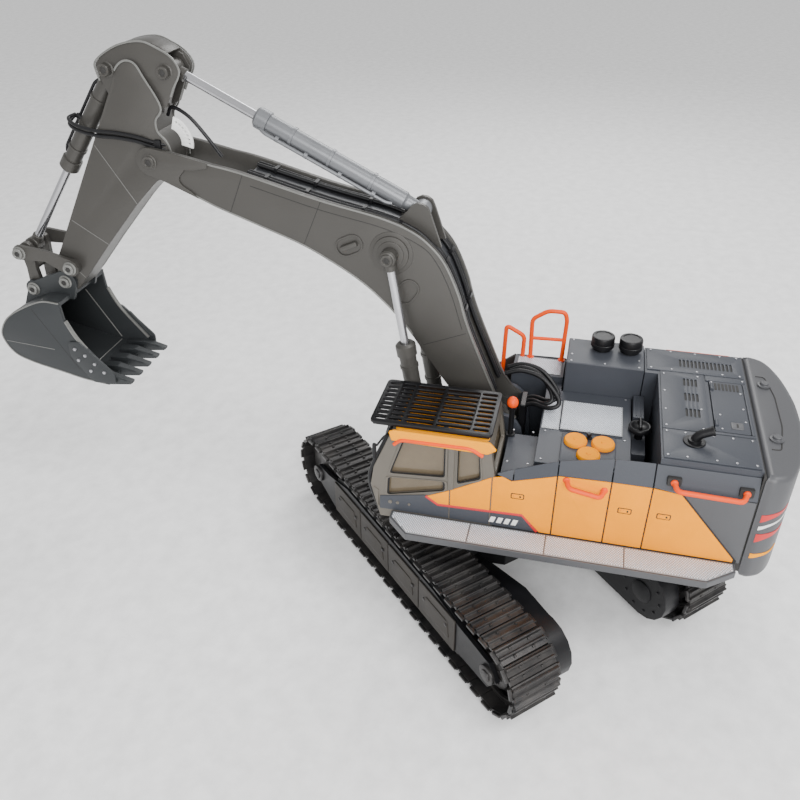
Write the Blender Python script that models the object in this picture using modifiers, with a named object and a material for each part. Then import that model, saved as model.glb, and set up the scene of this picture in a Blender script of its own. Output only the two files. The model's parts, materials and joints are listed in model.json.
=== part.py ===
"""Radio-controlled excavator: crawler undercarriage, swinging superstructure, boom, stick and bucket.

Machine frame: +X is the machine's left (cab side), -Y is straight ahead, +Z is up, and the tracks
stand on Z = 0. Lengths below are in millimetres and turned into metres by mm().
"""
import math

import bmesh
import bpy
from mathutils import Matrix, Vector

# ---------------------------------------------------------------- driving dimensions (mm)
GAP = 0.4                     # clearance between neighbouring pieces
SWING_Y = 100.5               # swing axis, behind the origin
TRACK_TURN = math.radians(-45.0)   # heading of the tracks under the superstructure

TRACK_X = 80.0                # centre of each track from the swing axis
SHOE_WIDTH = 42.0
SHOE_COUNT = 52
GROUSER = 2.2                 # height of a shoe's grouser
BAND = 6.5                    # shoe plate and chain link together
IDLER_Y, IDLER_Z, IDLER_R = -123.0, 34.0, 34.0        # centre and outer belt radius, front
DRIVE_Y, DRIVE_Z, DRIVE_R = 126.0, 31.5, 31.5         # centre and outer belt radius, rear

DECK_Z = 88.0                 # top of the upper frame's plate
PANEL_X = 78.0                # outer face of the side covers
INNER_X = 72.0                # half width of the hood and boxes between the side covers
HOOD_Z = 164.0                # top of the hood
MID_DECK_Z = 140.0            # top of the walk-on deck
WALK_Z = 91.0                 # top of the walkway
WALK_X = 101.0                # outer edge of the walkway

BOOM_X = -12.0                # centre plane of boom, stick and bucket
BOOM_HALF = 19.0              # half width of the boom
BOOM_FOOT = (0.0, 122.0)      # (y, z) of the boom's pivot
BOOM_EYE = (-81.0, 259.0)     # boom cylinder on the boom
BOOM_CYL_FOOT = (-55.0, 110.0)
BOOM_CYL_OFFSET = 27.0        # cylinder axis from the boom's centre plane
BOOM_PIN = 3.2                # radius of the pin that carries the cylinder's eye
BOOM_RECESS = 3.8             # depth of the top skin below the side plates' edges
NECK = 12.5                   # from a cylinder's foot pin to where its full barrel starts
RAIL = 1.7                    # radius of a handrail

STICK_PIVOT = (-253.0, 311.0)
STICK_HALF = 13.0
HEAD_INSIDE = 6.4             # from the centre plane to the inner faces of the stick's head plates
STICK_CYL_FOOT = (-64.0, 284.0)
STICK_CYL_EYE = (-235.0, 369.0)

BUCKET_CYL_FOOT = (-278.0, 369.0)
ROCKER_PIVOT = (-338.0, 223.0)
ROCKER_EYE = (-380.0, 232.0)
BUCKET_PIVOT = (-348.0, 209.0)
BUCKET_LINK_EYE = (-379.0, 200.0)
BUCKET_HALF = 33.0

HATCH_LOW = (-30.0, 147.5)    # corners of the battery hatch, (x, y)
HATCH_HIGH = (34.0, 170.0)

COLLECTION = "rc_excavator"
SEGMENTS = 16                 # sides of a round piece


def mm(value):
    return value * 0.001


# ---------------------------------------------------------------- scene and materials
def clear_scene():
    for obj in list(bpy.data.objects):
        bpy.data.objects.remove(obj, do_unlink=True)
    collection = bpy.data.collections.new(COLLECTION)
    bpy.context.scene.collection.children.link(collection)
    return collection


PARTS = clear_scene()


def make_material(name, colour, roughness, metallic=0.0):
    material = bpy.data.materials.new(name)
    material.use_nodes = True
    shader = material.node_tree.nodes["Principled BSDF"]
    shader.inputs["Base Color"].default_value = (*colour, 1.0)
    shader.inputs["Roughness"].default_value = roughness
    shader.inputs["Metallic"].default_value = metallic
    material.diffuse_color = (*colour, 1.0)
    return material


DARK_GREY = make_material("arm_grey", (0.13, 0.125, 0.115), 0.45, 0.3)
BODY_GREY = make_material("body_grey", (0.15, 0.16, 0.19), 0.5)
CAB_GREY = make_material("cab_grey", (0.26, 0.23, 0.2), 0.5)
YELLOW = make_material("panel_yellow", (0.85, 0.45, 0.07), 0.4)
ORANGE = make_material("rail_orange", (0.9, 0.16, 0.04), 0.4)
BLACK = make_material("black_plastic", (0.02, 0.02, 0.02), 0.5)
TRACK_BLACK = make_material("track_black", (0.03, 0.03, 0.032), 0.4, 0.6)
SILVER = make_material("tread_silver", (0.7, 0.71, 0.73), 0.35, 0.7)
CHROME = make_material("rod_chrome", (0.75, 0.75, 0.76), 0.15, 1.0)
GLASS = make_material("tinted_window", (0.25, 0.2, 0.13), 0.1)
BATTERY_BLUE = make_material("battery_wrap", (0.05, 0.12, 0.4), 0.5)
BOARD_GREEN = make_material("circuit_green", (0.02, 0.2, 0.07), 0.5)


def machine_empty(name, parent=None, turn=0.0):
    empty = bpy.data.objects.new(name, None)
    PARTS.objects.link(empty)
    empty.parent = parent
    empty.rotation_euler = (0.0, 0.0, turn)
    return empty


MACHINE = machine_empty("machine")
MACHINE.location = (0.0, mm(SWING_Y), 0.0)
UNDERCARRIAGE = machine_empty("undercarriage", MACHINE, TRACK_TURN)


# ---------------------------------------------------------------- shape helpers
def new_object(name, mesh):
    obj = bpy.data.objects.new(name, mesh)
    PARTS.objects.link(obj)
    return obj


def bake(obj):
    """Turns a curve or a modified object into a plain mesh object in machine coordinates."""
    bpy.context.view_layer.update()
    evaluated = obj.evaluated_get(bpy.context.evaluated_depsgraph_get())
    mesh = bpy.data.meshes.new_from_object(evaluated)
    mesh.transform(obj.matrix_world)
    shape = bmesh.new()
    shape.from_mesh(mesh)
    bmesh.ops.remove_doubles(shape, verts=shape.verts, dist=0.0000001)
    shape.to_mesh(mesh)
    shape.free()
    name = obj.name
    bpy.data.objects.remove(obj, do_unlink=True)
    return new_object(name, mesh)


def box(low, high):
    """A box between two corners."""
    shape = bmesh.new()
    bmesh.ops.create_cube(shape, size=1.0)
    size = [mm(b - a) for a, b in zip(low, high)]
    centre = [mm((a + b) / 2) for a, b in zip(low, high)]
    bmesh.ops.scale(shape, vec=size, verts=shape.verts)
    bmesh.ops.translate(shape, vec=centre, verts=shape.verts)
    mesh = bpy.data.meshes.new("box")
    shape.to_mesh(mesh)
    shape.free()
    return new_object("box", mesh)


def cone(start, end, radius, end_radius=None, segments=SEGMENTS):
    """A cylinder or cone frustum between two points."""
    start, end = Vector(start), Vector(end)
    axis = end - start
    shape = bmesh.new()
    bmesh.ops.create_cone(shape, cap_ends=True, segments=segments, radius1=mm(radius),
                          radius2=mm(radius if end_radius is None else end_radius),
                          depth=mm(axis.length))
    turn = axis.to_track_quat("Z", "Y").to_matrix().to_4x4()
    middle = Matrix.Translation((start + end) / 2 * 0.001)
    bmesh.ops.transform(shape, matrix=middle @ turn, verts=shape.verts)
    mesh = bpy.data.meshes.new("cone")
    shape.to_mesh(mesh)
    shape.free()
    return new_object("cone", mesh)


def cross_pin(yz, x_low, x_high, radius, segments=SEGMENTS):
    """A round bar along X through the point (y, z)."""
    return cone((x_low, *yz), (x_high, *yz), radius, segments=segments)


def flat_outline(points, thickness):
    """An extruded 2D outline in its own XY plane, centred on Z = 0."""
    curve = bpy.data.curves.new("outline", "CURVE")
    curve.dimensions = "2D"
    curve.fill_mode = "BOTH"
    curve.extrude = mm(thickness) / 2
    spline = curve.splines.new("POLY")
    spline.points.add(len(points) - 1)
    for target, (u, v) in zip(spline.points, points):
        target.co = (mm(u), mm(v), 0.0, 1.0)
    spline.use_cyclic_u = True
    return new_object("outline", curve)


def side_plate(points, x_low, x_high):
    """An outline given as (y, z) points, extruded along X."""
    obj = flat_outline(points, x_high - x_low)
    obj.rotation_euler = (math.pi / 2, 0.0, math.pi / 2)
    obj.location = (mm((x_low + x_high) / 2), 0.0, 0.0)
    return bake(obj)


def floor_plate(points, z_low, z_high):
    """An outline given as (x, y) points, extruded along Z."""
    obj = flat_outline(points, z_high - z_low)
    obj.location = (0.0, 0.0, mm((z_low + z_high) / 2))
    return bake(obj)


def tube(points, radius, closed=False, resolution=2):
    """A round bar that follows a list of points."""
    curve = bpy.data.curves.new("tube", "CURVE")
    curve.dimensions = "3D"
    curve.bevel_depth = mm(radius)
    curve.bevel_resolution = resolution
    curve.use_fill_caps = True
    spline = curve.splines.new("POLY")
    spline.points.add(len(points) - 1)
    for target, point in zip(spline.points, points):
        target.co = (*[mm(value) for value in point], 1.0)
    spline.use_cyclic_u = closed
    return bake(new_object("tube", curve))


def smooth_route(points, count):
    """Evenly counted points on a Catmull-Rom curve through the given points."""
    points = [Vector(point) for point in points]
    padded = [2 * points[0] - points[1], *points, 2 * points[-1] - points[-2]]
    route = []
    spans = len(points) - 1
    for index in range(count):
        place = index / (count - 1) * spans
        span = min(int(place), spans - 1)
        t = place - span
        a, b, c, d = padded[span:span + 4]
        route.append(0.5 * (2 * b + (c - a) * t + (2 * a - 5 * b + 4 * c - d) * t ** 2
                            + (3 * b - a - 3 * c + d) * t ** 3))
    return route


def rounded(points, radius, steps=3):
    """The same outline or path with its inner corners rounded by short arcs."""
    result = [Vector(points[0])]
    for before, corner, after in zip(points, points[1:], points[2:]):
        before, corner, after = Vector(before), Vector(corner), Vector(after)
        reach = min(radius, (before - corner).length / 2.1, (after - corner).length / 2.1)
        first = corner + (before - corner).normalized() * reach
        last = corner + (after - corner).normalized() * reach
        for step in range(steps + 1):
            t = step / steps
            result.append((1 - t) ** 2 * first + 2 * t * (1 - t) * corner + t ** 2 * last)
    result.append(Vector(points[-1]))
    return result


def arc(centre, radius, start, end, steps):
    """(u, v) points on an arc, angles in degrees."""
    points = []
    for step in range(steps + 1):
        angle = math.radians(start + (end - start) * step / steps)
        points.append((centre[0] + radius * math.cos(angle), centre[1] + radius * math.sin(angle)))
    return points


def offset_path(points, distance):
    """The path moved sideways, to its left, by a distance."""
    moved = []
    for index, point in enumerate(points):
        before = Vector(points[max(index - 1, 0)])
        after = Vector(points[min(index + 1, len(points) - 1)])
        along = (after - before).normalized()
        moved.append(tuple(Vector(point) + Vector((-along.y, along.x)) * distance))
    return moved


def combine(base, others, operation):
    """Boolean of base with each other object, applied; the others are used up."""
    for other in others:
        modifier = base.modifiers.new("boolean", "BOOLEAN")
        modifier.operation = operation
        modifier.solver = "EXACT"
        modifier.object = other
        base = bake(base)
        bpy.data.objects.remove(other, do_unlink=True)
    return base


def union(base, *others):
    return combine(base, others, "UNION")


def cut(base, *others):
    return combine(base, others, "DIFFERENCE")


def bevel(obj, width, segments=2, angle=30.0):
    modifier = obj.modifiers.new("bevel", "BEVEL")
    modifier.width = mm(width)
    modifier.segments = segments
    modifier.limit_method = "ANGLE"
    modifier.angle_limit = math.radians(angle)
    return bake(obj)


def finish(obj, name, material, origin=(0.0, 0.0, 0.0), parent=MACHINE, smooth=True):
    """Names the piece, puts its origin on the given machine point and hangs it on its parent."""
    obj.name = name
    obj.data.name = name
    obj.data.materials.clear()
    obj.data.materials.append(material)
    place = Vector(origin) * 0.001
    obj.data.transform(Matrix.Translation(-place))
    if smooth:
        obj.data.shade_smooth()
        obj.data.set_sharp_from_angle(angle=math.radians(35.0))
    obj.location = place
    obj.parent = parent
    return obj


def pivot(yz):
    return (BOOM_X, *yz)


# ---------------------------------------------------------------- undercarriage
def belt_point(distance):
    """Point and outward normal on the belt's pitch line, (y, z), at a distance along it."""
    front = Vector((IDLER_Y, IDLER_Z))
    rear = Vector((DRIVE_Y, DRIVE_Z))
    r_front, r_rear = IDLER_R - GROUSER, DRIVE_R - GROUSER
    span = rear - front
    lean = math.asin((r_front - r_rear) / span.length)
    heading = math.atan2(span.y, span.x)
    top = heading + math.pi / 2 - lean
    bottom = heading - math.pi / 2 + lean
    straight = math.sqrt(span.length ** 2 - (r_front - r_rear) ** 2)
    rear_wrap = r_rear * (top - bottom)
    front_wrap = r_front * (2 * math.pi - (top - bottom))
    total = 2 * straight + rear_wrap + front_wrap
    distance %= total
    if distance < straight:
        normal = Vector((math.cos(top), math.sin(top)))
        start = front + normal * r_front
        along = Vector((normal.y, -normal.x))
        return start + along * distance, normal, total
    distance -= straight
    if distance < rear_wrap:
        angle = top - distance / r_rear
        normal = Vector((math.cos(angle), math.sin(angle)))
        return rear + normal * r_rear, normal, total
    distance -= rear_wrap
    if distance < straight:
        normal = Vector((math.cos(bottom), math.sin(bottom)))
        start = rear + normal * r_rear
        along = Vector((normal.y, -normal.x))
        return start + along * distance, normal, total
    distance -= straight
    angle = bottom - distance / r_front
    normal = Vector((math.cos(angle), math.sin(angle)))
    return front + normal * r_front, normal, total


def band(outer, inner, x_low, x_high):
    """A closed band along X; the outer loop has the same number of points for each inner point."""
    share = len(outer) // len(inner)
    shape = bmesh.new()
    rings = []
    for x in (x_low, x_high):
        rings.append([[shape.verts.new((mm(x), mm(y), mm(z))) for y, z in loop]
                      for loop in (outer, inner)])
    (outer_low, inner_low), (outer_high, inner_high) = rings
    for low, high in ((outer_low, outer_high), (inner_high, inner_low)):
        for index in range(len(low)):
            following = (index + 1) % len(low)
            shape.faces.new((low[index], high[index], high[following], low[following]))
    for index in range(len(inner)):
        following = (index + 1) % len(inner)
        span = [(index * share + step) % len(outer) for step in range(share + 1)]
        shape.faces.new([*[outer_low[place] for place in span], inner_low[following],
                         inner_low[index]])
        shape.faces.new([inner_high[index], inner_high[following],
                         *[outer_high[place] for place in reversed(span)]])
    bmesh.ops.recalc_face_normals(shape, faces=shape.faces)
    mesh = bpy.data.meshes.new("band")
    shape.to_mesh(mesh)
    shape.free()
    return new_object("band", mesh)


def track_belt(side, x_centre):
    """A closed belt of shoes, one raised grouser to a shoe."""
    total = belt_point(0.0)[2]
    pitch = total / SHOE_COUNT
    outer, inner = [], []
    for shoe in range(SHOE_COUNT):
        start = shoe * pitch
        for share, height in ((0.1, 0.0), (0.2, GROUSER), (0.55, GROUSER), (0.65, 0.0)):
            point, normal, _ = belt_point(start + share * pitch)
            outer.append(point + normal * height)
        point, normal, _ = belt_point(start + 0.1 * pitch)
        inner.append(point - normal * BAND)
    half = SHOE_WIDTH / 2
    belt = band(outer, inner, x_centre - half, x_centre + half)
    finish(belt, f"track_belt_{side}", TRACK_BLACK, (x_centre, 0, IDLER_Z), UNDERCARRIAGE,
           smooth=False)


def track_frame(side, x_centre, outward):
    """The roller frame inside the belt, with arms that reach along the wheels' outer faces."""
    profile = [(-90, 16), (-84, 11.5), (88, 11), (94, 15), (92, 44), (60, 52), (-70, 55), (-90, 50)]
    frame = side_plate(profile, x_centre - 15.5, x_centre + 15.5)
    face = x_centre + outward * 17.3
    arm_profile = [(-96, 15), (-70, 13), (74, 13), (98, 17), (DRIVE_Y, 18), (DRIVE_Y + 9, 31),
                   (DRIVE_Y, 42), (92, 44), (60, 50), (-70, 52), (-104, 44), (IDLER_Y, 43),
                   (IDLER_Y - 8, 34), (IDLER_Y, 25)]
    arm = side_plate(arm_profile, min(face, face - outward * 3.5), max(face, face - outward * 3.5))
    frame = bevel(union(frame, arm), 0.8, 1)
    finish(frame, f"track_frame_{side}", BLACK, (x_centre, 0, IDLER_Z), UNDERCARRIAGE)


def sprocket(side, x_centre, teeth=14):
    """The toothed drive wheel; its teeth stay just inside the belt."""
    tip = DRIVE_R - GROUSER - BAND - GAP - 0.5
    outline = []
    for tooth in range(teeth):
        for share, radius in ((0.0, tip - 2.4), (0.3, tip), (0.6, tip), (0.85, tip - 2.4)):
            angle = 2 * math.pi * (tooth + share) / teeth
            outline.append((DRIVE_Y + radius * math.cos(angle), DRIVE_Z + radius * math.sin(angle)))
    wheel = side_plate(outline, x_centre - 5, x_centre + 5)
    hub = cross_pin((DRIVE_Y, DRIVE_Z), x_centre - 13, x_centre + 13, 14)
    wheel = union(wheel, hub)
    finish(wheel, f"sprocket_{side}", TRACK_BLACK, (x_centre, DRIVE_Y, DRIVE_Z), UNDERCARRIAGE)


def idler(side, x_centre):
    rim = IDLER_R - GROUSER - BAND - GAP - 0.5
    centre = (IDLER_Y, IDLER_Z)
    wheel = cross_pin(centre, x_centre - 12, x_centre + 12, rim - 3, 20)
    wheel = union(wheel, cross_pin(centre, x_centre - 4, x_centre + 4, rim, 20),
                  cross_pin(centre, x_centre - 13, x_centre + 13, 9))
    finish(wheel, f"idler_{side}", TRACK_BLACK, (x_centre, *centre), UNDERCARRIAGE)


def drive_housing(side, sign):
    """The gearbox and motor case on the inner side of the drive wheel."""
    belt_edge = TRACK_X - SHOE_WIDTH / 2 - GAP
    profile = [(40, 14), (DRIVE_Y - 4, 9), *arc((DRIVE_Y, DRIVE_Z), 23, -90, 90, 8),
               (DRIVE_Y - 4, 54), (96, 57), (64, 50), (40, 44)]
    span = sorted((sign * belt_edge, sign * (belt_edge - 15)))
    case = side_plate(profile, *span)
    case = bevel(case, 2.2, 2)
    finish(case, f"drive_housing_{side}", BLACK, (sign * belt_edge, DRIVE_Y, DRIVE_Z),
           UNDERCARRIAGE)


def carbody():
    """The centre box and its four legs, with a round pedestal for the slew ring."""
    inner = TRACK_X - 16.5
    legs = [(-30, -22), (-inner, -66), (-inner, -34), (-42, 0), (-inner, 18), (-inner, 34),
            (-30, 24), (30, 24), (inner, 34), (inner, 18), (42, 0), (inner, -34), (inner, -66),
            (30, -22)]
    body = floor_plate(legs, 22, 50)
    centre = floor_plate(arc((0, 0), 44, 22.5, 337.5, 7), 17, 58)
    pedestal = cone((0, 0, 55), (0, 0, 62), 38, 34, 32)
    body = union(body, centre, pedestal)
    finish(body, "carbody", BLACK, (0, 0, 17), UNDERCARRIAGE)


def slew_ring():
    ring = cone((0, 0, 62 + GAP), (0, 0, 71.5), 36, segments=40)
    hole = cone((0, 0, 60), (0, 0, 75), 24, segments=32)
    ring = cut(ring, hole)
    finish(ring, "slew_ring", SILVER, (0, 0, 67), UNDERCARRIAGE)


def undercarriage():
    for side, sign in (("left", 1), ("right", -1)):
        x_centre = sign * TRACK_X
        track_belt(side, x_centre)
        track_frame(side, x_centre, sign)
        sprocket(side, x_centre)
        idler(side, x_centre)
        drive_housing(side, sign)
    carbody()
    slew_ring()


# ---------------------------------------------------------------- superstructure
def mirrored_plate(profile, offset, thickness):
    """Two like plates, one on each side of the boom's centre plane."""
    near = side_plate(profile, BOOM_X + offset, BOOM_X + offset + thickness)
    far = side_plate(profile, BOOM_X - offset - thickness, BOOM_X - offset)
    return near, far


def upper_frame():
    """The turntable plate with the boom's brackets and the lugs of the boom cylinders."""
    plate = floor_plate([(-74, -30), (-74, 172), (74, 172), (74, 10), (19, 10), (19, -26),
                         (21.6, -62), (21, -70), (-50, -70), (-52, -33)], 76, DECK_Z)
    turntable = cone((0, 0, 72), (0, 0, 77), 40, segments=32)
    foot = [(-21, 86), *arc(BOOM_FOOT, 19, 170, 0, 8), (24, 86)]
    brackets = mirrored_plate(foot, BOOM_HALF + GAP + 0.2, 4)
    frame = union(plate, turntable, *brackets)
    lug = [(-68, 86), *arc(BOOM_CYL_FOOT, 8, 180, 0, 6), (-42, 86)]
    for sign in (1, -1):
        for offset in (-5.9, 4.2):
            x = BOOM_X + sign * BOOM_CYL_OFFSET + offset
            frame = union(frame, side_plate(lug, x, x + 1.7))
    frame = cut(frame, cross_pin(BOOM_FOOT, BOOM_X - 40, BOOM_X + 40, 4 + GAP))
    finish(frame, "upper_frame", BODY_GREY, (0, 0, 76))


def boom_foot_pin():
    pin = cross_pin(BOOM_FOOT, BOOM_X - BOOM_HALF - 6.6, BOOM_X + BOOM_HALF + 6.6, 4)
    for sign in (1, -1):
        head = BOOM_X + sign * (BOOM_HALF + 5.2)
        ends = sorted((head, head + sign * 2.6))
        pin = union(pin, cross_pin(BOOM_FOOT, *ends, 6.5, 6))
    return pin


def side_cover(side, sign):
    """A side panel: sheet with a step in its top edge behind the cab and an inward top flange."""
    inner, outer = sign * (PANEL_X - 3), sign * PANEL_X
    if side == "left":
        top = [(9, 135), (20, 133.5), (49, 142.5), (49, 151), (84, 155), (172.5, 156)]
    else:
        top = [(-28, 120), (2, 143), (43, 143), (44, 155), (172.5, 156)]
    front = top[0][0]
    profile = [(front, 84), *top, (174.5, 84)]
    panel = side_plate(profile, *sorted((inner, outer)))
    flange_profile = [(sign * (PANEL_X - 0.4), 149), (sign * (PANEL_X - 4.4), 159),
                      (sign * (PANEL_X - 5.6), 157), (sign * (PANEL_X - 2.6), 147)]
    flange = flat_outline(flange_profile, 120.5 if side == "left" else 126.5)
    flange.rotation_euler = (math.pi / 2, 0.0, 0.0)
    middle = (172.5 + (52 if side == "left" else 46)) / 2
    flange.location = (0.0, mm(middle), 0.0)
    panel = union(panel, bake(flange))
    panel = bevel(panel, 0.6, 1)
    material = YELLOW if side == "left" else BODY_GREY
    finish(panel, f"side_cover_{side}", material, (outer, 100, 120))


def walkway(side, sign):
    """A tread plate on a rim, its two outer corners cut off."""
    inner = sign * (PANEL_X + GAP)
    outer = sign * WALK_X
    front = -65 if side == "left" else -26
    outline = [(inner, front), (sign * 86, front), (outer, front + 15), (outer, 152),
               (sign * 87, 171), (inner, 171)]
    plate = floor_plate(outline, 85.5, WALK_Z)
    plate = bevel(plate, 0.5, 1)
    finish(plate, f"walkway_{side}", SILVER, (inner, 50, WALK_Z))


def shell_box(low, high, wall=2.0):
    """A box open at the bottom."""
    outer = box(low, high)
    inner = box((low[0] + wall, low[1] + wall, low[2] - 1), [value - wall for value in high])
    return cut(outer, inner)


def centre_deck():
    """The walk-on deck between boom and engine."""
    deck = shell_box((-32.6, 32, DECK_Z + GAP), (62, 96, MID_DECK_Z))
    wing = shell_box((-43.5, 32, DECK_Z + GAP), (-30, 43.6, MID_DECK_Z))
    low_box = shell_box((24, 10.5, DECK_Z + GAP), (INNER_X, 33, 134))
    tread = floor_plate([(-17, 46), (-17, 90), (21, 90), (21, 46)], MID_DECK_Z - 0.5,
                        MID_DECK_Z + 1.2)
    deck = union(deck, wing, low_box, tread)
    finish(deck, "centre_deck", BODY_GREY, (0, 60, MID_DECK_Z))


def right_steps():
    """The two-level step box at the right front."""
    step = shell_box((-INNER_X, 3, DECK_Z + GAP), (-44, 43.6, 145))
    step = union(step, box((-INNER_X, -28, DECK_Z + GAP), (-44, 3.5, 118)))
    step = bevel(step, 0.8, 1)
    finish(step, "right_step_box", BODY_GREY, (-60, 20, 145))


def tank_box():
    """The tall box on the right with the two air intakes on it."""
    tank = shell_box((-INNER_X, 44.4, DECK_Z + GAP), (-33, 102, 166))
    tank = bevel(tank, 1.2, 2)
    finish(tank, "right_tank_box", BODY_GREY, (-54, 72, 166))
    for index, y in enumerate((70.0, 91.0), start=1):
        cap = cone((-59, y, 166 + GAP), (-59, y, 169), 7)
        cap = union(cap, cone((-59, y, 168.5), (-59, y, 178), 8.8, 8.5, 28))
        finish(cap, f"air_precleaner_{index}", BLACK, (-59, y, 166))


def filler_caps():
    """Three round caps on their base plate."""
    base = floor_plate([(24, 48), (24, 86), (60, 86), (60, 48)], MID_DECK_Z + GAP, MID_DECK_Z + 1.6)
    for x, y in ((35, 58), (35, 77), (50, 67.5)):
        base = union(base, cone((x, y, MID_DECK_Z + 1), (x, y, MID_DECK_Z + 4.5), 8, 7.6, 28))
    finish(base, "filler_caps", YELLOW, (42, 67, MID_DECK_Z))


def engine_hood():
    """The hood over the engine bay, with an opening for the hatch."""
    hood = shell_box((-INNER_X, 112, DECK_Z + GAP), (INNER_X, 174, HOOD_Z), 2.4)
    wing = shell_box((-INNER_X, 102.6, DECK_Z + GAP), (-34, 113, HOOD_Z), 2.4)
    hood = union(hood, wing)
    low = [value - GAP for value in HATCH_LOW]
    high = [value + GAP for value in HATCH_HIGH]
    hood = cut(hood, box((*low, HOOD_Z - 14), (*high, HOOD_Z + 16)))
    hood = cut(hood, cone((50, 133, 150), (50, 133, 180), 3.6))
    hood = bevel(hood, 0.8, 1, 60)
    finish(hood, "engine_hood", BODY_GREY, (0, 140, HOOD_Z))


def hood_hatch():
    """The battery hatch, hinged along its front edge."""
    x_low, x_high = HATCH_LOW[0], HATCH_HIGH[0]
    y_hinge, z_hinge = HATCH_LOW[1] + 1.2, HOOD_Z + 1.2
    lid = box((*HATCH_LOW, HOOD_Z - 1.2), (*HATCH_HIGH, HOOD_Z + 1.0))
    for x in (x_low + 9, x_high - 9):
        lid = union(lid, cone((x - 3, y_hinge, z_hinge), (x + 3, y_hinge, z_hinge), 1.2,
                              segments=12))
    finish(lid, "hood_hatch", BODY_GREY, ((x_low + x_high) / 2, y_hinge, z_hinge))


def exhaust_pipe():
    """A short bent tail pipe that stands in the hood."""
    route = rounded([(50, 133, 156), (50, 133, 170), (50, 143, 175)], 6, 4)
    pipe = tube(route, 3.0, resolution=3)
    finish(pipe, "exhaust_pipe", BLACK, (50, 133, HOOD_Z))


def air_duct():
    """The stepped intake channel in the bay ahead of the hood, with a round service cap on it."""
    channel = box((-32.2, 97, DECK_Z + GAP), (-2, 105, 144))
    middle = box((-2.5, 97, DECK_Z + GAP), (30, 107, 134))
    low_end = box((29.5, 97, DECK_Z + GAP), (62, 110.5, 128))
    post = cone((9, 102, 133), (9, 102, 142), 3)
    cap = cone((9, 102, 141), (9, 102, 145), 8, 7.6, 24)
    grip = box((2.5, 101, 144.5), (15.5, 103, 147.5))
    finish(union(channel, middle, low_end, post, cap, grip), "air_duct", BODY_GREY, (0, 102, 144))


def counterweight():
    """The rounded tail weight with two lifting studs."""
    outline = [(-76, 175), (-77, 182), (-70, 192), (-50, 200), (-22, 205), (0, 206), (22, 205),
               (50, 200), (70, 192), (77, 182), (76, 175)]
    weight = floor_plate(outline, 78, HOOD_Z)
    weight = bevel(weight, 5.0, 3, 50)
    for x in (-34, 34):
        weight = union(weight, cone((x, 186, HOOD_Z - 2), (x, 186, HOOD_Z + 2.4), 3.2))
    finish(weight, "counterweight", CAB_GREY, (0, 175, HOOD_Z))


def cab():
    """The cab shell with its window openings, its glazing and its seat."""
    x_low, x_high = 22.4, PANEL_X
    profile = [(-74, 84), (-80.5, 112), (-78, 128), (-64, 162), (3, 162), (8, 132), (8, 84)]
    shell = side_plate(profile, x_low, x_high)
    inside = [(-71, 87), (-77, 112), (-74.5, 128), (-62, 159), (0.5, 159), (5, 132), (5, 87)]
    shell = cut(shell, side_plate(inside, x_low + 2.5, x_high - 2.5))
    window = [(-66, 125), (-56, 155), (-27, 155), (-27, 128)]
    low_window = [(-68, 105), (-67, 121), (-27, 124), (-27, 116)]
    back_window = [(-18, 124), (-18, 155), (-4, 155), (-2, 131)]
    for opening in (window, low_window, back_window):
        shell = cut(shell, side_plate(opening, x_high - 5, x_high + 5))
    for opening in (window, back_window):
        shell = cut(shell, side_plate(opening, x_low - 5, x_low + 5))
    shell = cut(shell, box((x_low + 6, -100, 104), (x_high - 6, -60, 150)))
    shell = cut(shell, box((x_low + 6, 0, 134), (x_high - 6, 20, 152)))
    finish(shell, "cab_shell", CAB_GREY, (50, -36, 84))
    glazing = [(-74.1, 128), (-76.4, 112), (-71.6, 93), (4.4, 93), (4.4, 132), (0.1, 158.4),
               (-61.8, 158.4)]
    glass = side_plate(glazing, x_low + 3, x_high - 3)
    inner = [(-72.4, 128), (-74.8, 112), (-71, 90), (3.2, 90), (3.2, 132), (-0.9, 157),
             (-60.7, 157)]
    glass = cut(glass, side_plate(inner, x_low + 4.2, x_high - 4.2))
    finish(glass, "cab_glass", GLASS, (50, -36, 120))
    seat = box((38, -40, 87.4), (62, -12, 104))
    seat = union(seat, side_plate([(-18, 102), (-12, 140), (-7, 140), (-9, 90), (-18, 90)], 39, 61))
    seat = bevel(seat, 2.0, 2)
    finish(seat, "cab_seat", BLACK, (50, -26, 87))


def roof_parts():
    """The slotted roof guard, the trim along the roof's outer edge and the beacon."""
    guard = box((22.6, -80, 164.6), (77.4, 4, 167.6))
    for index in range(9):
        x = 27.0 + index * 5.7
        for y_low, y_high in ((-77, -59), (-55, -30), (-26, 0)):
            guard = cut(guard, box((x, y_low, 160), (x + 3.4, y_high, 170)))
    for x in (30.6, 70.6):
        for y in (-57, -28):
            guard = union(guard, box((x, y - 1.6, 162.3), (x + 1.6, y + 1.6, 165)))
    finish(guard, "cab_guard", BLACK, (50, -38, 164))
    trim = side_plate([(-64, 155), (-66, 162), (-62, 163.6), (3, 163.6), (8, 158), (2, 154)],
                      PANEL_X + GAP, PANEL_X + 3)
    trim = bevel(trim, 0.8, 2)
    finish(trim, "roof_trim", YELLOW, (PANEL_X, -30, 160))
    x, y = 26, 11.5
    lamp = cone((x, y, 134 + GAP), (x, y, 159), 1.8)
    lamp = union(lamp, cone((x, y, 158.5), (x, y, 166.5), 4.0, 3.2, 24))
    finish(lamp, "beacon", ORANGE, (x, y, 134))


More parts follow.
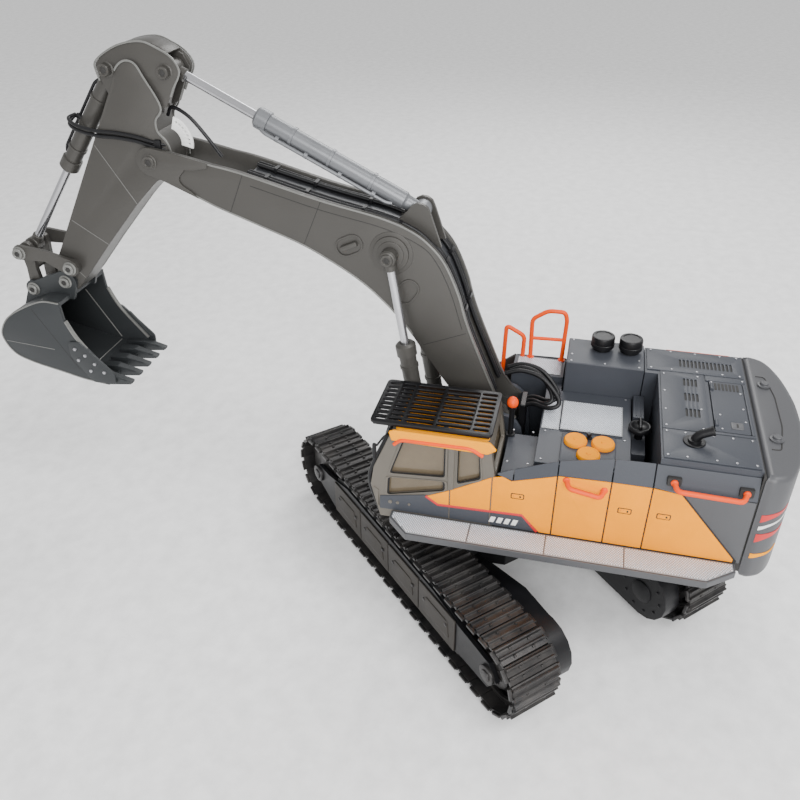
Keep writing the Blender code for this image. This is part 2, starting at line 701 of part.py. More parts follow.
def handrails():
    """The two loops by the right steps and the grab handles on the left covers."""
    high = rounded([(-70, 15, 145 + GAP), (-70, 14, 180), (-70, 26, 188.5), (-70, 39, 188.5),
                    (-70, 41, 182), (-70, 40, 145 + GAP)], 4, 3)
    rail = tube(high, RAIL)
    rail = union(rail, tube([(-70, 14.6, 163), (-70, 40.4, 164)], RAIL - 0.3))
    finish(rail, "handrail_high", ORANGE, (-70, 28, 145))
    low = rounded([(-70, -7, 118 + GAP), (-70, -6, 172), (-70, 9, 164), (-70, 8.6, 145 + GAP)],
                  4, 3)
    finish(tube(low, RAIL), "handrail_low", ORANGE, (-70, 0, 118))
    for name, y_low, y_high, z_low, z_high in (("grab_handle_front", 55, 80, 141, 137),
                                               ("grab_handle_rear", 122, 166, 151, 150)):
        foot = PANEL_X + 0.9
        route = rounded([(foot, y_low, z_low), (foot + 6, y_low + 2, z_low - 2),
                         (foot + 6, y_high - 2, z_high - 2), (foot, y_high, z_high)], 3, 3)
        finish(tube(route, RAIL), name, ORANGE, (foot, (y_low + y_high) / 2, z_low))
    foot = -PANEL_X - 1.6
    edge = rounded([(foot, 118, 154), (foot - 3.2, 119.5, 157), (foot - 3.2, 168.5, 157),
                    (foot, 170, 154)], 2, 3)
    finish(tube(edge, 1.3), "hood_rail", ORANGE, (foot, 144, 157))


def inner_parts():
    """What the superstructure holds inside: battery, control board and swing motor."""
    pack = bevel(box((-26, 142, DECK_Z + GAP), (30, 169, 114)), 2.0, 2)
    finish(pack, "battery_pack", BATTERY_BLUE, (2, 155, DECK_Z))
    board = box((-68, 116, DECK_Z + GAP), (-32, 168, 90.4))
    for x, y in ((-58, 128), (-44, 146), (-58, 158)):
        board = union(board, box((x - 5, y - 5, 90), (x + 5, y + 5, 95)))
    finish(board, "control_board", BOARD_GREEN, (-50, 141, DECK_Z))
    motor = cone((-8, 62, DECK_Z + GAP), (-8, 62, 122), 13, segments=16)
    motor = union(motor, cone((-8, 62, 121), (-8, 62, 126), 4))
    finish(motor, "swing_motor", SILVER, (-8, 62, DECK_Z))


def superstructure():
    upper_frame()
    for side, sign in (("left", 1), ("right", -1)):
        side_cover(side, sign)
        walkway(side, sign)
    centre_deck()
    right_steps()
    tank_box()
    filler_caps()
    engine_hood()
    hood_hatch()
    exhaust_pipe()
    air_duct()
    counterweight()
    cab()
    roof_parts()
    handrails()
    inner_parts()


# ---------------------------------------------------------------- boom
BOOM_TOP = [(13, 136), (6, 141), (-3, 154), (-25, 206), (-33, 232), (-43, 254), (-54, 267),
            (-67, 276), (-89, 284), (-131, 293), (-184, 307), (-209, 312), (-232, 317), (-250, 320)]
BOOM_BOTTOM = [(-252, 301), (-246, 299), (-220, 287.5), (-205, 281), (-177, 271), (-145, 259),
               (-122, 247), (-103, 235), (-88, 222), (-72, 205), (-60, 188), (-39, 158),
               (-19, 130), (-12, 112)]


def boom():
    """A box boom: two side plates with a recessed top skin, open at the foot."""
    nose = arc(STICK_PIVOT, 9.5, 100, 260, 5)
    foot = arc(BOOM_FOOT, 14, -130, 40, 6)
    outline = [*BOOM_TOP, *nose, *BOOM_BOTTOM, *foot]
    near, far = mirrored_plate(outline, BOOM_HALF - 3, 3)
    core_top = offset_path(BOOM_TOP[2:11], BOOM_RECESS)
    core_bottom = offset_path(BOOM_BOTTOM[4:12], 1.5)
    core = side_plate([(-8, 140), *core_top, *core_bottom, (-20, 140)],
                      BOOM_X - BOOM_HALF + 2.5, BOOM_X + BOOM_HALF - 2.5)
    hollow_top = offset_path(BOOM_TOP[2:11], BOOM_RECESS + 3)
    hollow_bottom = offset_path(BOOM_BOTTOM[5:12], 4.5)
    hollow = side_plate([(-9, 128), *hollow_top, *hollow_bottom, (-19, 128)],
                        BOOM_X - BOOM_HALF + 4, BOOM_X + BOOM_HALF - 4)
    core = cut(core, hollow)
    body = union(core, near, far)
    for inside in (BOOM_HALF - 6, -BOOM_HALF + 2):
        body = union(body, cross_pin(BOOM_FOOT, BOOM_X + inside, BOOM_X + inside + 4, 11))
    body = cut(body, cross_pin(BOOM_FOOT, BOOM_X - 30, BOOM_X + 30, 4 + GAP),
               cross_pin(STICK_PIVOT, BOOM_X - 30, BOOM_X + 30, 3 + GAP))
    ear = [(-80, 278), *arc(STICK_CYL_FOOT, 8, 160, 10, 5), (-48, 262), (-66, 262)]
    for plate in mirrored_plate(ear, 6.4, 3):
        body = union(body, plate)
    for sign in (1, -1):
        ends = sorted((BOOM_X + sign * (BOOM_HALF - 1), BOOM_X + sign * (BOOM_HALF + 2)))
        body = union(body, cross_pin(BOOM_EYE, *ends, 12, 18))
        ends = sorted((BOOM_X + sign * (BOOM_HALF + 1), BOOM_X + sign * (BOOM_HALF + 12.4)))
        body = union(body, cross_pin(BOOM_EYE, *ends, BOOM_PIN))
    finish(body, "boom", DARK_GREY, pivot(BOOM_FOOT))


def stick_pin():
    pin = cross_pin(STICK_PIVOT, BOOM_X - BOOM_HALF - 0.6, BOOM_X + BOOM_HALF + 0.6, 3)
    for sign in (1, -1):
        ends = sorted((BOOM_X + sign * (BOOM_HALF + GAP), BOOM_X + sign * (BOOM_HALF + 3)))
        pin = union(pin, cross_pin(STICK_PIVOT, *ends, 4.6, 6))
    return pin


def cylinder(prefix, foot, eye, barrel_length, radius, rod_radius, x_centre, eye_half, material,
             suffix="", eye_hole=0.0):
    """A barrel and a rod with an eye at each outer end, the rod free in the barrel's bore."""
    start, end = Vector((x_centre, *foot)), Vector((x_centre, *eye))
    along = (end - start).normalized()
    foot_radius = radius + 0.3
    tip = start + along * barrel_length
    barrel = cone(start + along * NECK, tip, radius, segments=14)
    neck = cone(start, start + along * (NECK + 1), eye_half * 0.9, segments=12)
    collar = cone(tip - along * 9, tip - along, radius + 1.4, segments=14)
    ring = cross_pin(foot, x_centre - eye_half, x_centre + eye_half, foot_radius)
    barrel = union(barrel, collar, neck, ring)
    bore = cone(start + along * (NECK + 3), tip + along * 5, rod_radius + GAP, segments=14)
    finish(cut(barrel, bore), f"{prefix}_barrel{suffix}", material, tuple(start))
    rod_length = barrel_length - foot_radius - 10
    rod = cone(end - along * rod_length, end, rod_radius, segments=12)
    rod = union(rod, cross_pin(eye, x_centre - eye_half, x_centre + eye_half, rod_radius + 3))
    if eye_hole:
        rod = cut(rod, cross_pin(eye, x_centre - 10, x_centre + 10, eye_hole))
    finish(rod, f"{prefix}_rod{suffix}", CHROME, tuple(end))


def boom_cylinders():
    for suffix, sign in (("_left", 1), ("_right", -1)):
        x_centre = BOOM_X + sign * BOOM_CYL_OFFSET
        cylinder("boom_cylinder", BOOM_CYL_FOOT, BOOM_EYE, 86, 6.2, 3.0, x_centre, 3.6, DARK_GREY,
                 suffix, BOOM_PIN + GAP)


# ---------------------------------------------------------------- stick and bucket
STICK_OUTLINE = [(-270, 369), (-263, 374), (-256, 373), (-251, 365), (-242, 347), (-247, 338),
                 (-247, 330), (-241, 322), (-239.5, 311), (-243, 301), (-254, 295), (-273, 277),
                 (-304, 243), (-330, 213), (-340, 202)]
STICK_TIP_R = 9.0
ARCH_OUTER = [(-285, 367), (-283, 374), (-267, 383), (-250, 386), (-239, 382.5), (-230, 377),
              (-226, 369), (-232, 358), (-238, 346)]
ARCH_INNER = [(-249, 343), (-257, 362), (-262, 366), (-268, 361), (-272, 348), (-280, 352)]
HEAD_TOP = [(-269, 381.9), (-267, 383), (-250, 386), (-241, 383.1)]


def stick():
    """A box stick with an arched head: two plates under a curved cover."""
    tip = arc(BUCKET_PIVOT, STICK_TIP_R, -60, -190, 5)
    outline = [*STICK_OUTLINE, *tip, (-351, 229)]
    body = side_plate(outline, BOOM_X - STICK_HALF, BOOM_X + STICK_HALF)
    hollow = [(-262, 380), (-246, 380), (-252, 340), (-262, 300), (-280, 278), (-318, 238),
              (-332, 240)]
    body = cut(body, side_plate(hollow, BOOM_X - STICK_HALF + 3, BOOM_X + STICK_HALF - 3))
    arch = [*ARCH_OUTER, *ARCH_INNER]
    for plate in mirrored_plate(arch, HEAD_INSIDE, 4.2):
        body = union(body, plate)
    cover = [*HEAD_TOP, *reversed(offset_path(HEAD_TOP, -1.8))]
    body = union(body, side_plate(cover, BOOM_X - HEAD_INSIDE - 1, BOOM_X + HEAD_INSIDE + 1))
    body = cut(body, cross_pin(STICK_PIVOT, BOOM_X - 30, BOOM_X + 30, 3 + GAP),
               cross_pin(ROCKER_PIVOT, BOOM_X - 30, BOOM_X + 30, 3 + GAP))
    for joint in (STICK_CYL_EYE, BUCKET_CYL_FOOT):
        for sign in (1, -1):
            ends = sorted((BOOM_X + sign * (HEAD_INSIDE + 3.6), BOOM_X + sign * (HEAD_INSIDE + 8.6)))
            body = union(body, cross_pin(joint, *ends, 4.6, 6))
    finish(body, "stick", DARK_GREY, pivot(STICK_PIVOT))


def lever_outline(start, end, start_r, end_r, bulge):
    """A link with round ends and a curved waist between two pins."""
    a, b = Vector(start), Vector(end)
    along = (b - a).normalized()
    across = Vector((-along.y, along.x))
    heading = math.degrees(math.atan2(along.y, along.x))
    middle = (a + b) / 2 + across * bulge
    waist = min(start_r, end_r) * 0.75
    return [*arc(start, start_r, heading + 90, heading + 270, 5), tuple(middle - across * waist),
            *arc(end, end_r, heading - 90, heading + 90, 5), tuple(middle + across * waist)]


def rocker_levers():
    """Two curved levers on the stick, joined by the cross pin they turn on."""
    outline = lever_outline(ROCKER_PIVOT, ROCKER_EYE, 7, 6, -3.5)
    near, far = mirrored_plate(outline, 17.2, 3)
    pin = cross_pin(ROCKER_PIVOT, BOOM_X - 22, BOOM_X + 22, 3)
    levers = union(pin, near, far)
    for sign in (1, -1):
        ends = sorted((BOOM_X + sign * 19.5, BOOM_X + sign * 22.5))
        levers = union(levers, cross_pin(ROCKER_EYE, *ends, 4.4, 6))
        spacer = sorted((BOOM_X + sign * (STICK_HALF + GAP), BOOM_X + sign * 17.6))
        levers = union(levers, cross_pin(ROCKER_PIVOT, *spacer, 5.5))
    finish(levers, "rocker_levers", DARK_GREY, pivot(ROCKER_PIVOT))


def bucket_link():
    """The H-shaped link from the levers down to the bucket's ears."""
    outline = lever_outline(ROCKER_EYE, BUCKET_LINK_EYE, 5.6, 5.6, 0)
    near, far = mirrored_plate(outline, 8.2, 4.2)
    middle = ((ROCKER_EYE[0] + BUCKET_LINK_EYE[0]) / 2, (ROCKER_EYE[1] + BUCKET_LINK_EYE[1]) / 2)
    link = union(near, far, cross_pin(middle, BOOM_X - 9, BOOM_X + 9, 3))
    finish(link, "bucket_link", DARK_GREY, pivot(BUCKET_LINK_EYE))


BUCKET_SIDE = [(-347, 198), (-363, 198), (-384, 189), (-399, 179), (-407.5, 166), (-406, 155),
               (-399, 146), (-384, 140), (-362, 135), (-340, 130), (-318, 128), (-316, 137),
               (-334, 159), (-341, 170), (-346, 182)]
BUCKET_INSIDE = [(-349, 195), (-363, 195), (-383, 186), (-397, 177), (-404.5, 166), (-403, 157),
                 (-397, 149), (-383, 143), (-361, 138), (-338, 133), (-300, 131), (-300, 200)]


def bucket():
    """A welded bucket: wrapped shell, side plates with cutters, ears and five teeth."""
    low, high = BOOM_X - BUCKET_HALF, BOOM_X + BUCKET_HALF
    body = side_plate(BUCKET_SIDE, low, high)
    body = cut(body, side_plate(BUCKET_INSIDE, low + 2.6, high - 2.6))
    ear = [(-392, 184), *arc(BUCKET_LINK_EYE, 7, 200, 75, 5), *arc(BUCKET_PIVOT, 9, 110, -20, 5),
           (-344, 194), (-360, 194)]
    for plate in mirrored_plate(ear, STICK_HALF + GAP, 3):
        body = union(body, plate)
    for yz, radius in ((BUCKET_PIVOT, 5), (BUCKET_LINK_EYE, 4.2)):
        for sign in (1, -1):
            ends = sorted((BOOM_X + sign * (STICK_HALF + 2), BOOM_X + sign * (STICK_HALF + 3.6 + GAP)))
            body = union(body, cross_pin(yz, *ends, radius, 6))
    for index in range(5):
        x = BOOM_X + (index - 2) * 14.4
        tooth = side_plate([(-328, 128.2), (-318, 127), (-299, 129.5), (-299, 131), (-318, 136),
                            (-328, 134)], x - 3.4, x + 3.4)
        body = union(body, tooth)
    cutter = [(-336, 158), (-330, 160), (-312, 138), (-313, 131), (-330, 131), (-340, 146)]
    body = union(body, side_plate(cutter, high - 0.5, high + 1.8),
                 side_plate(cutter, low - 1.8, low + 0.5))
    finish(body, "bucket", DARK_GREY, pivot(BUCKET_PIVOT))


def front_linkage():
    finish(boom_foot_pin(), "boom_foot_pin", CHROME, pivot(BOOM_FOOT))
    boom()
    boom_cylinders()
    finish(stick_pin(), "stick_pin", CHROME, pivot(STICK_PIVOT))
    stick()
    cylinder("stick_cylinder", STICK_CYL_FOOT, STICK_CYL_EYE, 128, 6.2, 3.3, BOOM_X, 5.6, SILVER)
    cylinder("bucket_cylinder", BUCKET_CYL_FOOT, ROCKER_EYE, 92, 6.0, 3.0, BOOM_X, 4.6, BLACK)
    rocker_levers()
    bucket_link()
    bucket()


# ---------------------------------------------------------------- hoses
DECK_HOSE = [(-14, 1, 161), (-14, 13, 165), (-11, 28, 163), (-5, 40, 154), (0, 43, 148),
             (1, 36, 144.5), (-7, 25, 141.5), (-9, 17, 138)]
STICK_HOSE = [(-12, -244, 338.5), (-7, -237, 345), (-4, -224, 340), (-4, -212, 326), (-5, -204, 314)]


def hoses():
    bundle = box((-24, 14.5, DECK_Z + GAP), (-4, 19, 141))
    for x_shift, reach in ((0.0, 1.0), (-5.0, 0.8), (-10.0, 0.95)):
        route = [(x + x_shift, 17 + (y - 17) * reach, z) for x, y, z in DECK_HOSE]
        bundle = union(bundle, tube(smooth_route(route, 16), 1.7))
    finish(bundle, "deck_hoses", BLACK, DECK_HOSE[-1])
    hose = tube(smooth_route(STICK_HOSE, 12), 1.3)
    finish(hose, "stick_hose", BLACK, STICK_HOSE[0])
    lines = None
    path = offset_path(BOOM_TOP[2:11], BOOM_RECESS - 2.4)[1:]
    for offset in (11.5, -11.5):
        line = tube([(BOOM_X + offset, y, z) for y, z in path], 1.6)
        lines = line if lines is None else union(lines, line)
    for yz in (path[1], path[-2], path[-1]):
        lines = union(lines, cross_pin(yz, BOOM_X - 12, BOOM_X + 12, 1.3, 8))
    finish(lines, "boom_lines", BLACK, pivot(BOOM_TOP[4]))


undercarriage()
superstructure()
front_linkage()
hoses()
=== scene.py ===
import json
import math

import bmesh
import bpy
from mathutils import Matrix, Vector


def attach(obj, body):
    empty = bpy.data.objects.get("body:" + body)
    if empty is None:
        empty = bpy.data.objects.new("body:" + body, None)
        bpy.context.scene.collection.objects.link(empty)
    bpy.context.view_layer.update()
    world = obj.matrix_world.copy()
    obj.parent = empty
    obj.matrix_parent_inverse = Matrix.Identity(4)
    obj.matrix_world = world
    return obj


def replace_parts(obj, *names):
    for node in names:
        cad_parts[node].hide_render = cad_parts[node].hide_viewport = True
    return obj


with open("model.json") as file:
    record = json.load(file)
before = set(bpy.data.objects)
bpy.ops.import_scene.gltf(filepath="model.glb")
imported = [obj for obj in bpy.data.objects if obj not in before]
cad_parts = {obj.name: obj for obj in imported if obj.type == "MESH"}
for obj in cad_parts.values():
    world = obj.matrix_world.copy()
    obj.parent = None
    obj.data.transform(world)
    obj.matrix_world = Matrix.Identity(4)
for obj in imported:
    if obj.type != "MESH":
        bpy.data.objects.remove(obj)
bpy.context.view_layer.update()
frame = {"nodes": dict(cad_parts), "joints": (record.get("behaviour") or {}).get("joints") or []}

JOINTS = {joint["name"]: joint for joint in frame["joints"]}
SWING = Vector(JOINTS["swing"]["pos_m"])
MACHINE = Matrix.Translation((0.0, SWING.y, 0.0))
TRACKS = MACHINE @ Matrix.Rotation(math.radians(-45.0), 4, "Z")

UPPER = "superstructure"
LOWER = "undercarriage"

# ---------------------------------------------------------------- driving dimensions, mm
TRACK_X = 80.0
SHOE_COUNT = 52
SHOE_HALF = 21.0
SHOE_END = 2.4                # width of a shoe's lower end
WHEEL_HALF = 13
IDLER = (-123.0, 34.0)
IDLER_R = 31.8                # to the shoes' plates
DRIVE = (126.0, 31.5)
DRIVE_R = 29.3

PANEL_X = 78.0                # outer face of the side covers
HOOD_Z = 164.0
DECK_Z = 140.0
WALK_Z = 91.0
BASE_Z = 88.4

ARM_X = -12.0                 # centre plane of boom, stick and bucket
BOOM_HALF = 19.0
STICK_HALF = 13.0
HEAD_HALF = 10.6              # outer faces of the plates at the stick's head
BUCKET_HALF = 33.0
PIN_R = 5.4                   # flanges of the main pins


def machine_yz(joint):
    """A hinge's (y, z) in millimetres from the swing axis."""
    y, z = JOINTS[joint]["pos_m"][1:]
    return ((y - SWING.y) * 1000, z * 1000)


BOOM_FOOT = machine_yz("boom_hinge")
BOOM_EYE = machine_yz("boom_cylinder_hinge_left")
BOOM_CYLINDER_FOOT = (-55.0, 110.0)
STICK_PIVOT = machine_yz("stick_hinge")
STICK_CYLINDER_FOOT = machine_yz("stick_cylinder_hinge")
STICK_EYE = (-235.0, 369.0)
BUCKET_CYLINDER_FOOT = machine_yz("bucket_cylinder_hinge")
LEVER_PIVOT = machine_yz("lever_hinge")
LEVER_EYE = (-380.0, 232.0)
BUCKET_PIVOT = machine_yz("bucket_hinge")
LINK_PIVOT = machine_yz("link_hinge")


MM = 0.001


def mm(value):
    """Millimetres in metres."""
    return value * MM


# ---------------------------------------------------------------- camera, light and floor
def add_camera():
    """The camera stands to the left of the machine, above it and a little behind its swing axis."""
    back = Vector((0.8067, 0.2037, 0.5548)).normalized()
    right = Vector((-0.2448, 0.9696, 0.0)).normalized()
    turn = Matrix((right, back.cross(right), back)).transposed()
    data = bpy.data.cameras.new("camera")
    data.sensor_width = 36.0
    data.lens = 36.36
    data.shift_x = 0.0028
    data.shift_y = 0.0051
    data.clip_start = 0.02
    camera = bpy.data.objects.new("camera", data)
    roll = Matrix.Rotation(math.radians(-0.65), 4, "Z")
    camera.matrix_world = (MACHINE @ Matrix.Translation((0.5094, 0.0492, 0.4805)) @ turn.to_4x4() @ roll)
    bpy.context.scene.collection.objects.link(camera)
    bpy.context.scene.camera = camera


def add_area_light(name, place, size, power):
    """A round soft light that points at the origin."""
    data = bpy.data.lights.new(name, "AREA")
    data.shape = "DISK"
    data.size = size
    data.energy = power
    light = bpy.data.objects.new(name, data)
    light.location = place
    light.rotation_euler = (-Vector(place)).to_track_quat("-Z", "Y").to_euler()
    bpy.context.scene.collection.objects.link(light)


def add_studio():
    """White surroundings, three soft lights and a floor."""
    world = bpy.data.worlds.new("studio")
    world.use_nodes = True
    world.node_tree.nodes["Background"].inputs["Color"].default_value = (1.0, 1.0, 1.0, 1.0)
    world.node_tree.nodes["Background"].inputs["Strength"].default_value = 0.85
    bpy.context.scene.world = world
    add_area_light("key_light", (0.4, 0.9, 1.5), 0.8, 14.0)
    add_area_light("fill_light", (1.15, 0.4, 0.7), 0.9, 18.0)
    add_area_light("rear_light", (-1.0, 0.1, 1.0), 0.7, 8.0)
    bpy.ops.mesh.primitive_circle_add(vertices=64, radius=4.0, fill_type="NGON",
            location=(0.0, 0.0, -0.0005))
    floor = bpy.context.object
    floor.name = "floor"
    floor.data.materials.append(paint("floor_paper", (0.95, 0.95, 0.95), 0.9, grain=0.0))


# ---------------------------------------------------------------- materials
def link(tree, source, output, target, socket):
    """A wire between two shader nodes."""
    tree.links.new(source.outputs[output], target.inputs[socket])


def node(tree, kind, **values):
    """A shader node with its settings or input values."""
    made = tree.nodes.new(kind)
    for name, value in values.items():
        if hasattr(made, name):
            setattr(made, name, value)
        else:
            made.inputs[name.replace("_", " ").title()].default_value = value
    return made


def paint(name, colour, roughness, metallic=0.0, grain=0.25, scale=900.0, worn=None, shine=0.5,
        spread=0.12, patches=60.0):
    """A moulded or painted surface: fine grain, slow tone change and a varied roughness."""
    material = bpy.data.materials.new(name)
    material.use_nodes = True
    tree = material.node_tree
    shader = tree.nodes["Principled BSDF"]
    shader.inputs["Metallic"].default_value = metallic
    shader.inputs["Specular IOR Level"].default_value = shine
    place = node(tree, "ShaderNodeTexCoord")
    cloud = node(tree, "ShaderNodeTexNoise", Scale=patches, Detail=6.0, Roughness=0.6)
    link(tree, place, "Object", cloud, "Vector")
    tones = node(tree, "ShaderNodeValToRGB")
    tones.color_ramp.elements[0].position = 0.3
    tones.color_ramp.elements[1].position = 0.72
    darker = [channel * (1 - spread) for channel in colour]
    lighter = [min(channel * (1 + spread), 1.0) for channel in (worn or colour)]
    tones.color_ramp.elements[0].color = (*darker, 1.0)
    tones.color_ramp.elements[1].color = (*lighter, 1.0)
    link(tree, cloud, "Fac", tones, "Fac")
    link(tree, tones, "Color", shader, "Base Color")
    fine = node(tree, "ShaderNodeTexNoise", Scale=scale, Detail=3.0)
    link(tree, place, "Object", fine, "Vector")
    gloss = node(tree, "ShaderNodeMapRange")
    gloss.inputs["To Min"].default_value = max(roughness - 0.08, 0.02)
    gloss.inputs["To Max"].default_value = min(roughness + 0.1, 1.0)
    link(tree, cloud, "Fac", gloss, "Value")
    link(tree, gloss, "Result", shader, "Roughness")
    if grain:
        bump = node(tree, "ShaderNodeBump")
        bump.inputs["Strength"].default_value = grain
        bump.inputs["Distance"].default_value = 0.0002
        link(tree, fine, "Fac", bump, "Height")
        link(tree, bump, "Normal", shader, "Normal")
    return material


def brushed(name, colour, roughness, stretch):
    """Bare metal with fine scratches along one direction."""
    material = paint(name, colour, roughness, 0.9, grain=0.0, spread=0.06)
    tree = material.node_tree
    place = node(tree, "ShaderNodeTexCoord")
    mapping = node(tree, "ShaderNodeMapping")
    mapping.inputs["Scale"].default_value = stretch
    lines = node(tree, "ShaderNodeTexNoise", Scale=1.0, Detail=4.0)
    bump = node(tree, "ShaderNodeBump")
    bump.inputs["Strength"].default_value = 0.2
    bump.inputs["Distance"].default_value = 0.0002
    link(tree, place, "Object", mapping, "Vector")
    link(tree, mapping, "Vector", lines, "Vector")
    link(tree, lines, "Fac", bump, "Height")
    link(tree, bump, "Normal", tree.nodes["Principled BSDF"], "Normal")
    return material


def tinted_glass():
    """Brown window tint; a clearer pane renders as speckle."""
    material = paint("window_tint", (0.15, 0.118, 0.078), 0.08, grain=0.02, scale=120.0)
    shader = material.node_tree.nodes["Principled BSDF"]
    shader.inputs["Alpha"].default_value = 0.87
    return material


ARM = paint("arm_satin", (0.058, 0.055, 0.05), 0.4, 0.3, grain=0.3, spread=0.05, patches=25.0)
# Darker than the arm's paint as painted shade, for the light that falls off toward the bucket's end.
BUCKET = paint("bucket_satin", (0.03, 0.033, 0.035), 0.4, 0.3, grain=0.3, spread=0.06, patches=25.0)
# A lighter copy of the arm paint: painted highlights on edges, rims, raised lines, welds and pin ends.
ARM_HIGHLIGHT = paint("arm_painted_highlight", (0.2, 0.2, 0.19), 0.34, 0.5, grain=0.2)
SKIN = paint("boom_top_satin", (0.06, 0.062, 0.068), 0.4, 0.3, spread=0.05)
HOOD = paint("hood_satin", (0.043, 0.047, 0.057), 0.46, spread=0.05, patches=25.0, shine=0.35)
CAB = paint("cab_satin", (0.11, 0.098, 0.08), 0.42, grain=0.2, spread=0.05)
WEIGHT = paint("weight_satin", (0.066, 0.067, 0.072), 0.42, spread=0.05, patches=25.0)
YELLOW = paint("cover_yellow", (0.95, 0.32, 0.0), 0.5, grain=0.1, spread=0.04, shine=0.0)
TRIM = paint("trim_yellow", (1.0, 0.36, 0.0), 0.46, grain=0.1, spread=0.04, shine=0.0)
ORANGE = paint("rail_orange", (0.85, 0.07, 0.0), 0.4, grain=0.1, spread=0.05, shine=0.25)
BLACK = paint("black_moulded", (0.006, 0.006, 0.007), 0.38, grain=0.3, spread=0.3, shine=0.3)
# Dark joint lines and grooves; also painted shade in louvre openings, pin sockets, slots and the exhaust's
# bore.
DARK_JOINT_AND_SHADE = paint("dark_joint_and_painted_shade", (0.02, 0.019, 0.018), 0.7, grain=0.0)
SHOE = paint("shoe_black", (0.02, 0.02, 0.022), 0.36, 0.55, grain=0.5, worn=(0.045, 0.042, 0.04),
        spread=0.25)
COVER = paint("roller_cover", (0.028, 0.024, 0.02), 0.55, 0.2, grain=0.4, spread=0.3)
TREAD = paint("tread_silver", (0.8, 0.84, 0.92), 0.4, 0.35, grain=0.2, spread=0.05)
TREAD_BASE = paint("tread_base", (0.34, 0.35, 0.36), 0.45, 0.3, grain=0.2, spread=0.05)
CHROME = brushed("rod_chrome", (0.5, 0.5, 0.52), 0.13, (900, 30, 900))
STEEL = paint("cylinder_satin", (0.17, 0.175, 0.185), 0.34, 0.45, grain=0.2, spread=0.06)
BOLT = paint("bolt_zinc", (0.4, 0.4, 0.42), 0.3, 0.8, grain=0.1)
HOSE = paint("hose_rubber", (0.006, 0.006, 0.007), 0.4, grain=0.5, scale=1500.0, shine=0.35)
GLASS = tinted_glass()
RED = paint("stripe_red", (0.55, 0.02, 0.02), 0.35, grain=0.05, spread=0.05)
WHITE = paint("stripe_white", (0.78, 0.78, 0.76), 0.4, grain=0.05, spread=0.05)
BLUE = paint("battery_wrap", (0.05, 0.12, 0.4), 0.35)
BOARD = paint("circuit_green", (0.02, 0.2, 0.07), 0.4)


# ---------------------------------------------------------------- shapes
BEVEL_ANGLE = 32.0            # edges sharper than this are rounded
SMOOTH_ANGLE = 35.0           # edges flatter than this shade smoothly


def new_object(name, data):
    """An object in the scene for a mesh or curve."""
    obj = bpy.data.objects.new(name, data)
    bpy.context.scene.collection.objects.link(obj)
    return obj


def from_bmesh(name, shape):
    """An object from a finished shape, its faces turned outward."""
    mesh = bpy.data.meshes.new(name)
    bmesh.ops.recalc_face_normals(shape, faces=shape.faces)
    shape.to_mesh(mesh)
    shape.free()
    return new_object(name, mesh)


def bake(obj):
    """A curve or modified object as a plain mesh object with its vertices merged."""
    bpy.context.view_layer.update()
    evaluated = obj.evaluated_get(bpy.context.evaluated_depsgraph_get())
    mesh = bpy.data.meshes.new_from_object(evaluated)
    mesh.transform(obj.matrix_world)
    shape = bmesh.new()
    shape.from_mesh(mesh)
    bmesh.ops.remove_doubles(shape, verts=shape.verts, dist=1e-7)
    shape.to_mesh(mesh)
    shape.free()
    name = obj.name
    bpy.data.objects.remove(obj, do_unlink=True)
    return new_object(name, mesh)


def soften(obj, width=0.4, segments=2):
    """Rounds the edges and keeps the flats flat."""
    modifier = obj.modifiers.new("edges", "BEVEL")
    modifier.width = mm(width)
    modifier.segments = segments
    modifier.limit_method = "ANGLE"
    modifier.angle_limit = math.radians(BEVEL_ANGLE)
    modifier.use_clamp_overlap = True
    obj.data.shade_smooth()
    normals = obj.modifiers.new("normals", "WEIGHTED_NORMAL")
    normals.keep_sharp = True
    return obj


def smooth(obj, angle=SMOOTH_ANGLE):
    """Smooth shading that keeps the sharp edges."""
    obj.data.shade_smooth()
    obj.data.set_sharp_from_angle(angle=math.radians(angle))
    return obj


def box(name, low, high, edge=0.4):
    """A box between two corners."""
    shape = bmesh.new()
    bmesh.ops.create_cube(shape, size=1.0)
    size = [mm(b - a) for a, b in zip(low, high)]
    centre = [mm((a + b) / 2) for a, b in zip(low, high)]
    bmesh.ops.scale(shape, vec=size, verts=shape.verts)
    bmesh.ops.translate(shape, vec=centre, verts=shape.verts)
    obj = from_bmesh(name, shape)
    return soften(obj, min(edge, min(size) * 400)) if edge else obj


PLANES = {"x": Matrix(((0, 0, 1, 0), (1, 0, 0, 0), (0, 1, 0, 0), (0, 0, 0, 1))),
        "y": Matrix(((1, 0, 0, 0), (0, 0, -1, 0), (0, 1, 0, 0), (0, 0, 0, 1))), "z": Matrix.Identity(4), }


def plate(name, outline, low, high, axis="z", holes=(), edge=0.3):
    """A flat plate across an axis, with holes and rounded edges.

    Outlines are (y, z) points across X, (x, z) points across Y and (x, y) points across Z.
    """
    edge = min(edge, (high - low) / 2.2)
    curve = bpy.data.curves.new(name, "CURVE")
    curve.dimensions = "2D"
    curve.fill_mode = "BOTH"
    curve.extrude = mm((high - low) / 2 - edge)
    curve.bevel_depth = mm(edge)
    curve.bevel_resolution = 1
    curve.offset = -mm(edge)
    for loop in (outline, *holes):
        spline = curve.splines.new("POLY")
        spline.points.add(len(loop) - 1)
        for target, (u, v) in zip(spline.points, loop):
            target.co = (mm(u), mm(v), 0.0, 1.0)
        spline.use_cyclic_u = True
    obj = new_object(name, curve)
    middle = mm((low + high) / 2)
    shift = {"x": (middle, 0, 0), "y": (0, middle, 0), "z": (0, 0, middle)}[axis]
    obj.matrix_world = Matrix.Translation(shift) @ PLANES[axis]
    return smooth(bake(obj), 50.0)


